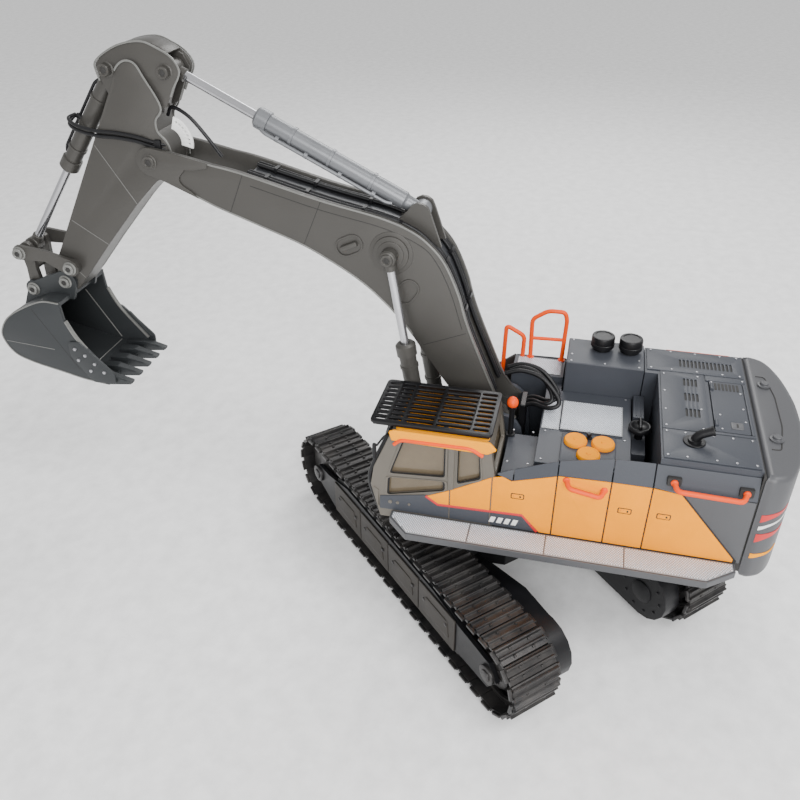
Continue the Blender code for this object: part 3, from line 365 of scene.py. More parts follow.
def tube(name, points, radius, resolution=4):
    """A round bar or hose along a path."""
    curve = bpy.data.curves.new(name, "CURVE")
    curve.dimensions = "3D"
    curve.bevel_depth = mm(radius)
    curve.bevel_resolution = resolution
    curve.use_fill_caps = True
    spline = curve.splines.new("POLY")
    spline.points.add(len(points) - 1)
    for target, point in zip(spline.points, points):
        target.co = (*[mm(value) for value in point], 1.0)
    return smooth(bake(new_object(name, curve)), 50.0)


def lathe(name, start, end, profile, segments=32):
    """A turned piece along the line from start to end; the profile is (distance, radius) points."""
    start, end = Vector(start), Vector(end)
    turn = (end - start).to_track_quat("Z", "Y").to_matrix().to_4x4()
    shape = bmesh.new()
    rings = []
    for distance, radius in profile:
        ring = []
        for index in range(segments):
            angle = 2 * math.pi * index / segments
            ring.append(shape.verts.new((mm(radius * math.cos(angle)), mm(radius * math.sin(angle)),
                    mm(distance))))
        rings.append(ring)
    for low, high in zip(rings, rings[1:]):
        for index in range(segments):
            following = (index + 1) % segments
            shape.faces.new((low[index], low[following], high[following], high[index]))
    shape.faces.new(list(reversed(rings[0])))
    shape.faces.new(rings[-1])
    bmesh.ops.transform(shape, matrix=Matrix.Translation(start * MM) @ turn, verts=shape.verts)
    return smooth(from_bmesh(name, shape), 32.0)


def disc(name, centre, axis, radius, height, edge=0.4, segments=28):
    """A short turned disc standing on a surface point, with a rounded rim."""
    centre = Vector(centre)
    edge = min(edge, height * 0.45, radius * 0.45)
    profile = [(-0.2, radius), (height - edge, radius), (height - edge * 0.3, radius - edge * 0.3),
            (height, radius - edge)]
    return lathe(name, centre, centre + Vector(axis), profile, segments)


def join(name, objects):
    """Several objects as one piece."""
    shape = bmesh.new()
    for obj in objects:
        obj = bake(obj)
        shape.from_mesh(obj.data)
        bpy.data.objects.remove(obj, do_unlink=True)
    mesh = bpy.data.meshes.new(name)
    shape.to_mesh(mesh)
    shape.free()
    return smooth(new_object(name, mesh))


def arc(centre, radius, start, end, steps):
    """(u, v) points on an arc, angles in degrees."""
    points = []
    for step in range(steps + 1):
        angle = math.radians(start + (end - start) * step / steps)
        points.append((centre[0] + radius * math.cos(angle), centre[1] + radius * math.sin(angle)))
    return points


def rounded(points, radius, steps=5):
    """An open path with its inner corners rounded."""
    result = [Vector(points[0])]
    for before, corner, after in zip(points, points[1:], points[2:]):
        before, corner, after = Vector(before), Vector(corner), Vector(after)
        reach = min(radius, (before - corner).length / 2.1, (after - corner).length / 2.1)
        first = corner + (before - corner).normalized() * reach
        last = corner + (after - corner).normalized() * reach
        for step in range(steps + 1):
            t = step / steps
            result.append((1 - t) ** 2 * first + 2 * t * (1 - t) * corner + t ** 2 * last)
    result.append(Vector(points[-1]))
    return result


def rounded_outline(points, radius):
    """A closed (u, v) outline with rounded corners."""
    count = len(points)
    result = []
    for index in range(count):
        trio = [points[(index + step) % count] for step in (-1, 0, 1)]
        result.extend((point.x, point.y) for point in rounded(trio, radius, 4)[1:-1])
    return result


def rectangle(low, high):
    """A (u, v) rectangle between two corners."""
    return [low, (high[0], low[1]), high, (low[0], high[1])]


def obround(start, end, radius, steps=8):
    """A slot outline between two (u, v) centres."""
    heading = math.degrees(math.atan2(end[1] - start[1], end[0] - start[0]))
    return [*arc(start, radius, heading + 90, heading + 270, steps), *arc(end, radius, heading - 90,
            heading + 90, steps)]


def smooth_route(points, count):
    """Evenly counted points on a Catmull-Rom curve through the given points."""
    points = [Vector(point) for point in points]
    padded = [2 * points[0] - points[1], *points, 2 * points[-1] - points[-2]]
    route = []
    spans = len(points) - 1
    for index in range(count):
        place = index / (count - 1) * spans
        span = min(int(place), spans - 1)
        t = place - span
        a, b, c, d = padded[span:span + 4]
        route.append(0.5 * (2 * b + (c - a) * t + (2 * a - 5 * b + 4 * c - d) * t ** 2
                            + (3 * b - a - 3 * c + d) * t ** 3))
    return route


def offset_path(points, distance):
    """The (u, v) path moved to its left by a distance."""
    moved = []
    for index, point in enumerate(points):
        before = Vector(points[max(index - 1, 0)])
        after = Vector(points[min(index + 1, len(points) - 1)])
        along = (after - before).normalized()
        moved.append(tuple(Vector(point) + Vector((-along.y, along.x)) * distance))
    return moved


def band(path, half):
    """The outline of a strip with the path along its middle."""
    return [*offset_path(path, half), *reversed(offset_path(path, -half))]


def ring_points(centre, radius, count):
    """Evenly spaced (u, v) points on a circle."""
    turns = [2 * math.pi * index / count for index in range(count)]
    return [(centre[0] + radius * math.cos(turn), centre[1] + radius * math.sin(turn)) for turn in turns]


def loft(name, rings):
    """A closed solid through rings of corners, given in metres."""
    shape = bmesh.new()
    rings = [[shape.verts.new(corner) for corner in ring] for ring in rings]
    for ring, following in zip(rings, rings[1:]):
        for corner in range(len(ring)):
            other = (corner + 1) % len(ring)
            shape.faces.new((ring[corner], ring[other], following[other], following[corner]))
    shape.faces.new(rings[0])
    shape.faces.new(list(reversed(rings[-1])))
    return from_bmesh(name, shape)


def fit(obj, body, material, *nodes, space=MACHINE):
    """Gives a piece its material and its body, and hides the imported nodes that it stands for."""
    obj.data.transform(space)
    obj.data.materials.clear()
    obj.data.materials.append(material)
    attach(obj, body)
    if nodes:
        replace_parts(obj, *nodes)
    return obj


def fit_refined(node_name, body, material, width=0.4, segments=2):
    """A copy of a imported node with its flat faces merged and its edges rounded."""
    name = node_name + "_finish"
    shape = bmesh.new()
    shape.from_mesh(frame["nodes"][node_name].data)
    bmesh.ops.remove_doubles(shape, verts=shape.verts, dist=2e-6)
    bmesh.ops.dissolve_limit(shape, angle_limit=math.radians(1.0), verts=shape.verts, edges=shape.edges)
    mesh = bpy.data.meshes.new(name)
    shape.to_mesh(mesh)
    shape.free()
    obj = soften(new_object(name, mesh), width, segments)
    return fit(obj, body, material, node_name, space=Matrix.Identity(4))


def fit_joined(name, pieces, body, material, *nodes, space=MACHINE):
    """Several objects as one fitted piece."""
    return fit(join(name, pieces), body, material, *nodes, space=space)


# ---------------------------------------------------------------- hoses that lie free
def hose_cord(name, route, radius, body):
    """A hose that hangs between two fixed ends."""
    path = smooth_route(route, 40)
    hose = fit(tube(name, path, radius, resolution=5), body, HOSE)
    return hose


def free_hoses():
    """Three hoses arch from the boom's foot to their block on the deck; one joins boom and stick."""
    deck_route = [(-14, 1, 161), (-14, 13, 165), (-11, 28, 163), (-5, 40, 154), (0, 43, 148),
            (1, 36, 144.5), (-7, 25, 141.5), (-9, 17, 138)]
    for index, (shift, reach) in enumerate(((0.0, 1.0), (-5.0, 0.8), (-10.0, 0.95))):
        route = [(x + shift, 17 + (y - 17) * reach, z) for x, y, z in deck_route]
        hose = hose_cord(f"deck_hose_{index + 1}", route, 1.7, UPPER)
        if index == 0:
            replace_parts(hose, "deck_hoses")
    fit(box("deck_hose_block", (-24, 14.5, BASE_Z), (-4, 19, 141), 0.8), UPPER, BLACK)
    stick_route = [(-12, -244, 338.5), (-7, -237, 345), (-4, -224, 340), (-4, -212, 326), (-5, -204, 314)]
    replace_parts(hose_cord("stick_hose_finish", stick_route, 1.3, "boom_body"), "stick_hose")


# ---------------------------------------------------------------- tracks
def belt_frame(distance):
    """Point, travel direction and outward normal on the shoes' plate line, all (y, z)."""
    front, rear = Vector(IDLER), Vector(DRIVE)
    span = rear - front
    lean = math.asin((IDLER_R - DRIVE_R) / span.length)
    heading = math.atan2(span.y, span.x)
    top = heading + math.pi / 2 - lean
    bottom = heading - math.pi / 2 + lean
    straight = math.sqrt(span.length ** 2 - (IDLER_R - DRIVE_R) ** 2)
    rear_wrap = DRIVE_R * (top - bottom)
    total = 2 * straight + rear_wrap + IDLER_R * (2 * math.pi - top + bottom)
    distance %= total
    if distance < straight:
        centre, radius, angle, run = front, IDLER_R, top, distance
    elif distance < straight + rear_wrap:
        centre, radius, run = rear, DRIVE_R, 0.0
        angle = top - (distance - straight) / DRIVE_R
    elif distance < 2 * straight + rear_wrap:
        centre, radius, angle, run = rear, DRIVE_R, bottom, distance - straight - rear_wrap
    else:
        centre, radius, run = front, IDLER_R, 0.0
        angle = bottom - (distance - 2 * straight - rear_wrap) / IDLER_R
    normal = Vector((math.cos(angle), math.sin(angle)))
    along = Vector((normal.y, -normal.x))
    return centre + normal * radius + along * run, along, normal, total


def shoe_parts(pitch):
    """One track shoe as (u along travel, v outward) profiles with their X ranges."""
    shoe = [(0.3, -2.6), (0.3, -0.5), (1.3, 0.0), (1.7, 2.15), (3.0, 2.15), (3.7, 0.1), (7.0, 0.1),
            (7.6, 1.5), (8.8, 1.5), (9.5, 0.1), (pitch - 0.6, -0.1), (pitch - 0.3, -2.6)]
    link = [(-1.0, -6.4), (-1.0, -3.4), (2.0, -2.4), (pitch - 3.5, -2.4), (pitch - 0.6, -3.4),
            (pitch - 0.6, -6.4)]
    parts = [(shoe, -SHOE_HALF + SHOE_END, SHOE_HALF - SHOE_END)]
    for sign in (1, -1):
        parts.append((link, *sorted((sign * 6.2, sign * 9.0))))
        ends = sorted((sign * (SHOE_HALF - SHOE_END), sign * SHOE_HALF))
        parts.append(([(1.0, -2.4), (1.0, -0.5), (9.8, -0.1), (9.8, -2.4)], *ends))
        for u in (1.7, 7.6):
            bolt = [(u + 2.0, 0.0), (u + 2.0, 1.0), (u + 3.6, 1.0), (u + 3.6, 0.0)]
            parts.append((bolt, *sorted((sign * 6.6, sign * 8.6))))
    return parts


def track_belt(side, x_centre):
    """The shoes of one track, laid around both wheels."""
    total = belt_frame(0.0)[3]
    pitch = total / SHOE_COUNT
    shape = bmesh.new()
    for index in range(SHOE_COUNT):
        origin, along, normal, _ = belt_frame((index + 0.5) * pitch)
        for profile, low, high in shoe_parts(pitch):
            rings = []
            for x in (low, high):
                ring = []
                for u, v in profile:
                    y, z = origin + along * (u - pitch / 2) + normal * v
                    ring.append(shape.verts.new((mm(x_centre + x), mm(y), mm(z))))
                rings.append(ring)
            for place in range(len(profile)):
                following = (place + 1) % len(profile)
                shape.faces.new((rings[0][place], rings[1][place], rings[1][following],
                        rings[0][following]))
            shape.faces.new(rings[0])
            shape.faces.new(list(reversed(rings[1])))
    belt = soften(from_bmesh(f"track_shoes_{side}", shape), 0.22, 1)
    fit(belt, LOWER, SHOE, f"track_belt_{side}", space=TRACKS)


def sprocket(side, x_centre, outward):
    """Two toothed rims on a bolted hub."""
    teeth, tip, root = 14, 21.6, 18.6
    outline = []
    for tooth in range(teeth):
        for share, radius in ((-0.28, root), (-0.14, tip), (0.14, tip), (0.28, root)):
            angle = 2 * math.pi * (tooth + share) / teeth
            outline.append((DRIVE[0] + radius * math.cos(angle), DRIVE[1] + radius * math.sin(angle)))
    rims = [plate("rim", outline, x_centre + x - 1.6, x_centre + x + 1.6, "x") for x in (-3.4, 3.4)]
    hub = lathe("hub", (x_centre - WHEEL_HALF, *DRIVE), (x_centre + WHEEL_HALF, *DRIVE),
            [(0, 3), (0, 11), (1.5, 13.4), (8, 14), (18, 14), (24.5, 13.4), (26, 11), (26, 3)], 40)
    pieces = [*rims, hub]
    for place in ring_points(DRIVE, 8.5, 8):
        centre = (x_centre + outward * 12.6, *place)
        pieces.append(disc("bolt", centre, (outward, 0, 0), 1.2, 1.2, 0.2, 6))
    fit_joined(f"sprocket_{side}_finish", pieces, f"sprocket_{side}_body", SHOE, f"sprocket_{side}",
            space=TRACKS)


def idler(side, x_centre):
    """The front wheel with its guiding rib."""
    rim = IDLER_R - 7.4
    profile = [(0, 3), (0, 8), (0.6, 9), (1, 12), (1.6, rim - 3.4), (3, rim - 3), (8, rim - 3),
            (9, rim - 0.4), (9.6, rim), (16.4, rim), (17, rim - 0.4), (18, rim - 3), (23, rim - 3),
            (24.4, rim - 3.4), (25, 12), (25.4, 9), (26, 8), (26, 3)]
    wheel = lathe(f"idler_{side}_finish", (x_centre - WHEEL_HALF, *IDLER), (x_centre + WHEEL_HALF,
            *IDLER), profile, 48)
    fit(wheel, f"idler_{side}_body", SHOE, f"idler_{side}", space=TRACKS)


def track_side(side, x_centre, outward):
    """Roller frame, the covers on its outer face, rollers and the final drive's hub."""
    fit_refined(f"track_frame_{side}", LOWER, BLACK, 0.5)
    fit_refined(f"drive_housing_{side}", LOWER, BLACK, 0.8, 3)
    face = x_centre + outward * 17.3
    covers = []
    for start, end in ((-92, -47.5), (-46.5, -3.5), (-2.5, 40.5), (41.5, 88)):
        outline = rounded_outline([(start, 15), (end, 15), (end, 46), (start, 46)], 1.2)
        covers.append(plate("cover", outline, *sorted((face, face + outward * 1.2)), "x", edge=0.5))
        ridge = rounded_outline([(start + 6, 22), (end - 6, 22), (end - 9, 38), (start + 9, 38)], 3)
        covers.append(plate("ridge", ridge, *sorted((face, face + outward * 1.9)), "x", edge=0.5))
    fit_joined(f"roller_covers_{side}", covers, LOWER, COVER, space=TRACKS)
    details = []
    for start in (-88, -44, 0, 44):
        for y in (start + 6, start + 34):
            details.append(disc("bolt", (face + outward * 1.4, y, 34), (outward, 0, 0), 1.5, 1.0, 0.2, 6))
    for y in range(-78, 80, 26):
        details.append(lathe("roller", (x_centre - 15, y, 14.6), (x_centre + 15, y, 14.6),
                [(0, 3), (0, 5.4), (9, 5.4), (10, 7), (12, 7), (13, 5.6), (17, 5.6), (18, 7), (20, 7),
                (21, 5.4), (30, 5.4), (30, 3)], 20))
    for centre in (DRIVE, IDLER):
        details.append(disc("hub", (face, *centre), (outward, 0, 0), 7.5, 2.2, 0.7, 32))
        details.append(disc("hub_ring", (face + outward * 1.8, *centre), (outward, 0, 0), 4.5, 1.4, 0.4,
                24))
    fit_joined(f"track_details_{side}", details, LOWER, SHOE, space=TRACKS)
    inner = x_centre - outward * (SHOE_HALF + 15.2)
    bolts = [disc("bolt", (inner, *place), (-outward, 0, 0), 1.2, 0.9, 0.2, 6)
            for place in ring_points(DRIVE, 17, 10)]
    bolts.append(disc("cap", (inner, *DRIVE), (-outward, 0, 0), 9, 1.2, 0.5, 32))
    fit_joined(f"drive_bolts_{side}", bolts, LOWER, BLACK, space=TRACKS)


def carbody():
    """The body between the tracks, and the slew ring on it."""
    fit_refined("carbody", LOWER, BLACK, 0.8, 3)
    ring = [(0, 24), (0, 35.4), (0.6, 36), (3.6, 36), (4, 34.6), (5, 34.6), (5.4, 36), (8.6, 36),
            (9.1, 35.4), (9.1, 24)]
    fit(lathe("slew_ring_finish", (0, 0, 62.4), (0, 0, 71.5), ring, 64), LOWER, STEEL, "slew_ring")
    bolts = [disc("bolt", (*place, 58), (0, 0, 1), 1.4, 1.4, 0.2, 6) for place in ring_points((0, 0), 41,
            16)]
    fit_joined("carbody_bolts", bolts, LOWER, BOLT)


def undercarriage():
    """Both tracks with their wheels and frames, and the body between them."""
    for side, sign in (("left", 1), ("right", -1)):
        track_belt(side, sign * TRACK_X)
        sprocket(side, sign * TRACK_X, sign)
        idler(side, sign * TRACK_X)
        track_side(side, sign * TRACK_X, sign)
    carbody()


# ---------------------------------------------------------------- boom, stick and bucket
SEAM_HALF = 0.225
SEAM_PROUD = 0.12


def seams(half, *lines):
    """Narrow joint lines on both side faces of the arm, along (y, z) points."""
    pieces = []
    for sign in (1, -1):
        face = ARM_X + sign * half + sign * 0.3
        faces = sorted((face - sign * 0.3, face + sign * SEAM_PROUD))
        pieces.extend(plate("seam", band(line, SEAM_HALF), *faces, "x", edge=0.02) for line in lines)
    return pieces


def both_sides(half, maker):
    """Pieces made by maker(face X, outward sign) on both side faces of the arm."""
    pieces = []
    for sign in (1, -1):
        pieces.extend(maker(ARM_X + sign * half, sign))
    return pieces


def pin_end(yz, x, sign, radius, height):
    """The outer end of a pin: a flange, a stub with a turned rim."""
    return [lathe("pin_end", (x, *yz), (x + sign * height, *yz), [(0, radius), (0.5, radius),
            (0.9, radius * 0.8), (height - 0.4, radius * 0.8), (height, radius * 0.74),
            (height, radius * 0.5), (height - 0.5, radius * 0.44), (height - 0.5, 0.3)], 36)]


def pin_socket(yz, x, sign, radius):
    """The hexagon socket in a pin's end: a dark disc as painted shade in its hollow."""
    return disc("socket", (x, *yz), (sign, 0, 0), radius * 0.4, 0.3, 0.05, 6)


def pin_pairs(places, face, socket_face, radius, height):
    """Pin ends and their sockets on both sides of the arm, at distances from its centre plane."""
    pins, sockets = [], []
    for sign in (1, -1):
        for place in places:
            pins.extend(pin_end(place, ARM_X + sign * face, sign, radius, height))
            sockets.append(pin_socket(place, ARM_X + sign * socket_face, sign, radius))
    return pins, sockets


def curve(points, count):
    """A smooth (y, z) outline through the given points."""
    return [(point.y, point.z) for point in smooth_route([(0, *place) for place in points], count)]


def side_pair(outline, inside, outside, edge=0.5):
    """The same plate on both sides of the arm's centre plane."""
    return [plate("side", outline, *sorted((ARM_X + sign * inside, ARM_X + sign * outside)), "x",
            edge=edge) for sign in (1, -1)]


def ribbon(path, width):
    """A strip of even width along a path, on the path's right."""
    return [*path, *reversed(offset_path(path, -width))]


BOOM_TOP = [(-3, 154), (-25, 206), (-33, 232), (-43, 254), (-54, 267), (-67, 276), (-89, 284),
        (-131, 293), (-184, 307)]


def boom():
    """Side plates, lips, nose, joint lines, covers, bosses, pins and the lines on the back."""
    fit_refined("boom", "boom_body", ARM, 0.45)
    top = curve([(13.2, 136), (6.2, 141.2), (-2.8, 154), (-24.7, 206), (-32.8, 232), (-42.8, 254.2),
            (-53.8, 267.3), (-66.8, 276.3), (-89, 284.3), (-131, 293.3), (-184, 307.3), (-209, 312.3),
            (-232, 317.3), (-250, 320.2)], 90)
    bottom = curve([(-252, 300.8), (-246, 298.8), (-220, 287.3), (-205, 280.8), (-177, 270.7),
            (-145, 258.7), (-122, 246.7), (-103, 234.7), (-88, 221.8), (-72, 204.8), (-60.2, 187.8),
            (-39.2, 157.8), (-19.2, 129.9), (-12.2, 112)], 90)
    outline = [*top, *arc(STICK_PIVOT, 9.7, 100, 260, 16), *bottom, *arc(BOOM_FOOT, 14.2, -130, 40, 16)]
    fit_joined("boom_sides", side_pair(outline, BOOM_HALF - 3.1, BOOM_HALF + 0.25), "boom_body", ARM)
    # The lips along the top and bottom edges take the lighter paint: painted highlights on the plate
    # edges.
    lips = [*side_pair(ribbon(list(reversed(top[12:])), 1.3), BOOM_HALF, BOOM_HALF + 0.45, 0.15),
            *side_pair(ribbon(list(reversed(bottom[:-24])), 1.3), BOOM_HALF, BOOM_HALF + 0.45, 0.15)]
    fit_joined("boom_lips", lips, "boom_body", ARM_HIGHLIGHT)
    nose = [(-250, 320.4), (-232, 317.3), (-209.6, 312.3), (-210.4, 309), (-222, 307),
            *curve([(-227.3, 307), (-232.2, 301), (-231, 296.4), (-224.4, 292)], 12), (-219.5, 287.3),
            (-246, 298.6)]
    nose = [*nose, *arc(STICK_PIVOT, 9.9, 260, 100, 16)]
    fit_joined("boom_nose", side_pair(nose, BOOM_HALF, BOOM_HALF + 1.3, 0.4), "boom_body", ARM)

    edge = [(-30, 206), (-39, 234), (-50, 256), (-62, 267), (-88, 277), (-131, 286), (-180, 299)]
    lines = seams(BOOM_HALF, [(-185, 306), (-197, 279)], [(-130, 291.5), (-144, 260)],
            [(-58, 190), (-27, 203)], [(-4, 150), (-30, 146)], curve(edge, 30))
    fit_joined("boom_seams", lines, "boom_body", DARK_JOINT_AND_SHADE)

    def covers(x, sign):
        pieces = []
        for centre, tilt in (((-111, 262), 25), ((-70, 231), 55)):
            reach = Vector((math.cos(math.radians(tilt)), math.sin(math.radians(tilt)))) * 3.2
            ends = [tuple(Vector(centre) - reach), tuple(Vector(centre) + reach)]
            pieces.append(plate("rim", obround(*ends, 7.2), *sorted((x, x + sign * 1.2)), "x",
                    [obround(*ends, 6.0)], 0.25))
        lamp = [(-117, 259), (-105, 264.5)]
        pieces.append(plate("bar", rounded_outline(band(lamp, 1.9), 1.2), *sorted((x, x + sign * 3.2)),
                "x", edge=0.7))
        return pieces

    fit_joined("boom_covers", both_sides(BOOM_HALF, covers), "boom_body", ARM)

    def rings(x, sign):
        pieces = []
        for radius, height in ((15.5, 0.7), (12.6, 2.4), (9.4, 3.2)):
            pieces.append(disc("ring", (x, *BOOM_EYE), (sign, 0, 0), radius, height, 0.35, 48))
        pieces.append(lathe("pin", (x, *BOOM_EYE), (x + sign * 13, *BOOM_EYE),
                [(0, 3.1), (12.4, 3.1), (12.8, 2.6), (12.9, 1)], 24))
        pieces.extend(pin_end(BOOM_EYE, x + sign * 11.8, sign, PIN_R, 2.6))
        pieces.extend(pin_end(STICK_PIVOT, x + sign * 1.2, sign, 5.6, 2.4))
        return pieces

    fit_joined("boom_cylinder_bosses", both_sides(BOOM_HALF, rings), "boom_body", ARM)

    def sockets(x, sign):
        return [pin_socket(BOOM_EYE, x + sign * 13.8, sign, PIN_R), pin_socket(STICK_PIVOT, x + sign * 3.0,
                sign, 5.6)]

    fit_joined("boom_pin_sockets", both_sides(BOOM_HALF, sockets), "boom_body", DARK_JOINT_AND_SHADE)
    pin = lathe("stick_pin_finish", (ARM_X - 19.6, *STICK_PIVOT), (ARM_X + 19.6, *STICK_PIVOT),
            [(0, 3), (39.2, 3)], 28)
    fit(pin, "boom_body", BOLT, "stick_pin")
    foot = [lathe("pin", (ARM_X - 25.6, *BOOM_FOOT), (ARM_X + 25.6, *BOOM_FOOT),
            [(0, 3.4), (0.6, 4), (50.6, 4), (51.2, 3.4)], 28)]
    for sign in (1, -1):
        foot.extend(pin_end(BOOM_FOOT, ARM_X + sign * 23.8, sign, 6.6, 2.6))
    # The foot pin takes the lighter paint as a painted highlight.
    fit_joined("boom_foot_pin_finish", foot, UPPER, ARM_HIGHLIGHT, "boom_foot_pin")
    outer = curve(offset_path(BOOM_TOP, 3.55)[1:], 50)
    inner = curve(offset_path(BOOM_TOP, 4.6)[1:], 50)
    skin = plate("boom_top_skin", [*outer, *reversed(inner)], ARM_X - 15.8, ARM_X + 15.8, "x", edge=0.15)
    fit(skin, "boom_body", SKIN)
    boom_lines()


def boom_lines():
    """Hoses in the recess along the boom's top, with ties."""
    hoses = []
    path = offset_path(BOOM_TOP, 1.6)
    for index, offset in enumerate((11.5, 8.1, -8.1, -11.5)):
        route = []
        for step, (y, z) in enumerate(path):
            wobble = 0.8 * math.sin(step * 2.1 + index * 1.7)
            route.append((ARM_X + offset + wobble, y, z))
        hoses.append(tube("line", smooth_route(route, 60), 1.55, resolution=4))
    fit_joined("boom_hoses", hoses, "boom_body", HOSE, "boom_lines")
    ties = []
    for place in (1.5, 3.0, 5.4, 6.3, 7.2, 7.75):
        span = int(place)
        share = place - span
        a, b = Vector(path[span]), Vector(path[min(span + 1, len(path) - 1)])
        middle = a.lerp(b, share)
        along = (b - a).normalized()
        across = Vector((-along.y, along.x))
        outline = [tuple(middle + along * u - across * v) for u, v in ((-1.2, -1.8), (1.2, -1.8),
                (1.2, 2.1), (-1.2, 2.1))]
        for sign in (1, -1):
            ends = sorted((ARM_X + sign * 5.6, ARM_X + sign * 14.2))
            ties.append(plate("tie", outline, *ends, "x", edge=0.4))
    fit_joined("boom_hose_ties", ties, "boom_body", BLACK)


STICK_REAR = [(-273, 360), (-270, 369), (-263, 374.4), (-256, 373.3), (-251, 365), (-242, 347),
        (-247.2, 338), (-247.2, 330), (-241, 322), (-239.3, 311), (-243, 301), (-254, 294.8),
        (-273, 276.8)]
HEAD_RIM = [(-280, 352), (-285.4, 367), (-283.6, 374.4), (-267, 383.6), (-250, 386.5), (-239, 383),
        (-229.6, 377.4), (-225.6, 369), (-232, 358), (-238, 346)]


def stick():
    """Side plates, head, rims, pins, the stop plate and the side hoses."""
    fit_refined("stick", "stick_body", ARM, 0.45)
    tip = arc(BUCKET_PIVOT, 9.2, -60, -190, 14)
    rear = curve(STICK_REAR, 80)
    outline = [*rear, (-304, 242.7), (-330, 212.7), *tip, (-351.3, 229)]
    head = [*curve(HEAD_RIM, 60), (-249, 343), (-257, 362), (-262, 366), (-268, 361), (-272, 348)]
    cover = curve([(-283.2, 374.6), (-267, 383.6), (-250, 386.5), (-239, 383.3), (-232.6, 379.6)], 40)
    top = plate("cover", [*cover, *reversed(offset_path(cover, 1.0))], ARM_X - 9.6, ARM_X + 9.6, "x",
            edge=0.3)
    pieces = [*side_pair(outline, STICK_HALF - 3.1, STICK_HALF + 0.25),
            *side_pair(head, HEAD_HALF - 1.4, HEAD_HALF + 0.3), top]
    fit_joined("stick_sides", pieces, "stick_body", ARM)
    # The rims take the lighter paint: painted highlights along the plates' edges.
    rim = ribbon(list(reversed(rear[6:62])), 1.4)
    strips = side_pair(rim, STICK_HALF, STICK_HALF + 0.7, 0.25)
    head_rim = ribbon(list(reversed(curve(HEAD_RIM, 60)[4:56])), 1.2)
    strips.extend(side_pair(head_rim, HEAD_HALF, HEAD_HALF + 0.8, 0.2))
    fit_joined("stick_rims", strips, "stick_body", ARM_HIGHLIGHT)
    # The stick's raised joint lines take the lighter paint as painted highlights.
    lines = seams(STICK_HALF, [(-298, 318), (-273, 277)], [(-331, 260), (-304, 243)],
            [(-336, 218), (-331, 213)])
    fit_joined("stick_seams", lines, "stick_body", ARM_HIGHLIGHT)
    places = (STICK_EYE, BUCKET_CYLINDER_FOOT)
    pieces, sockets = pin_pairs(places, HEAD_HALF, HEAD_HALF + 4.8, 5.2, 5.4)
    for place in places:
        pieces.append(lathe("pin", (ARM_X - 10, *place), (ARM_X + 10, *place), [(0, 3), (20, 3)], 24))
    fit_joined("stick_pins", pieces, "stick_body", ARM)
    fit_joined("stick_pin_sockets", sockets, "stick_body", DARK_JOINT_AND_SHADE)
    fan = [*arc((-241, 323), 17.5, 72, -14, 16), *arc((-241, 323), 9, -14, 72, 10)]
    holes = []
    for step in range(7):
        angle = math.radians(62 - step * 11)
        holes.append(arc((-241 + 14.8 * math.cos(angle), 323 + 14.8 * math.sin(angle)), 0.8, 0, 315, 7))
    fit(plate("stick_stop_plate", fan, ARM_X + 7.4, ARM_X + 9.2, "x", holes, 0.2), "stick_body", WHITE)
    side_hoses = []
    for shift in (0.0, -3.2):
        route = [(ARM_X + 0.5, -316.4, 335.4), (ARM_X + 7, -318.4, 334 + shift),
                (ARM_X + 12.4, -310, 331 + shift), (ARM_X + 14.5, -294, 328.5 + shift),
                (ARM_X + 14.5, -278.4, 328 + shift), (ARM_X + 14.5, -263.4, 326.3 + shift),
                (ARM_X + 14.3, -251, 323.1 + shift), (ARM_X + 12, -242, 321 + shift)]
        side_hoses.append(tube("hose", smooth_route(route, 40), 1.3, resolution=4))
    side_hoses.append(box("clip", (ARM_X + 12.6, -250, 315.5), (ARM_X + 15.8, -245, 325), 0.8))
    fit_joined("stick_side_hose", side_hoses, "stick_body", HOSE)


def ram(prefix, suffix, foot, eye, length, radius, rod_radius, x, eye_half, eye_radius, coat, bodies):
    """A cylinder: barrel with foot eye, gland and clamp rings, and a rod with its eye."""
    start, end = Vector((x, *foot)), Vector((x, *eye))
    along = (end - start).normalized()
    neck = 12.5
    bands = []
    for share in (0.3, 0.55, 0.78):
        middle = length * share
        bands.extend([(middle - 1.2, radius), (middle - 1, radius + 0.7), (middle + 1, radius + 0.7),
                (middle + 1.2, radius)])
    barrel = lathe("barrel", start, end, [(1, eye_half * 0.85), (neck - 1, eye_half * 0.9),
            (neck, radius - 0.8), (neck + 1, radius), *bands, (length - 10, radius),
            (length - 9.6, radius + 1.2), (length - 1.6, radius + 1.2), (length - 1, radius + 0.6),
            (length, radius - 0.4), (length, rod_radius + 0.4), (length - 2, rod_radius + 0.4),
            (length - 2.4, rod_radius + 1.5), (neck + 4, rod_radius + 1.5), (neck + 4, 0.2)], 40)
    pieces = [barrel, lathe("eye", (x - eye_half, *foot), (x + eye_half, *foot),
            [(0, 2.6), (0, radius), (0.4, radius + 0.3), (eye_half * 2 - 0.4, radius + 0.3),
            (eye_half * 2, radius), (eye_half * 2, 2.6)], 32)]
    fit_joined(f"{prefix}_barrel{suffix}_finish", pieces, bodies[0], coat, f"{prefix}_barrel{suffix}")
    reach = (end - start).length
    rod = [lathe("rod", end, start, [(1, rod_radius), (reach - length + 24, rod_radius)], 32)]
    outer = rod_radius + 3
    rod.append(lathe("eye", (x - eye_half, *eye), (x + eye_half, *eye),
            [(0, eye_radius), (0, outer - 0.4), (0.4, outer), (eye_half * 2 - 0.4, outer),
            (eye_half * 2, outer - 0.4), (eye_half * 2, eye_radius)], 32))
    rod.append(lathe("collar", end, start, [(outer - 1.5, rod_radius), (outer - 1, rod_radius + 1.2),
            (outer + 3, rod_radius + 1.2), (outer + 3.6, rod_radius)], 28))
    fit_joined(f"{prefix}_rod_eye{suffix}", rod[1:], bodies[1], ARM)
    rod[0].name = f"{prefix}_rod{suffix}_finish"
    fit(rod[0], bodies[1], CHROME, f"{prefix}_rod{suffix}")
    return start, along


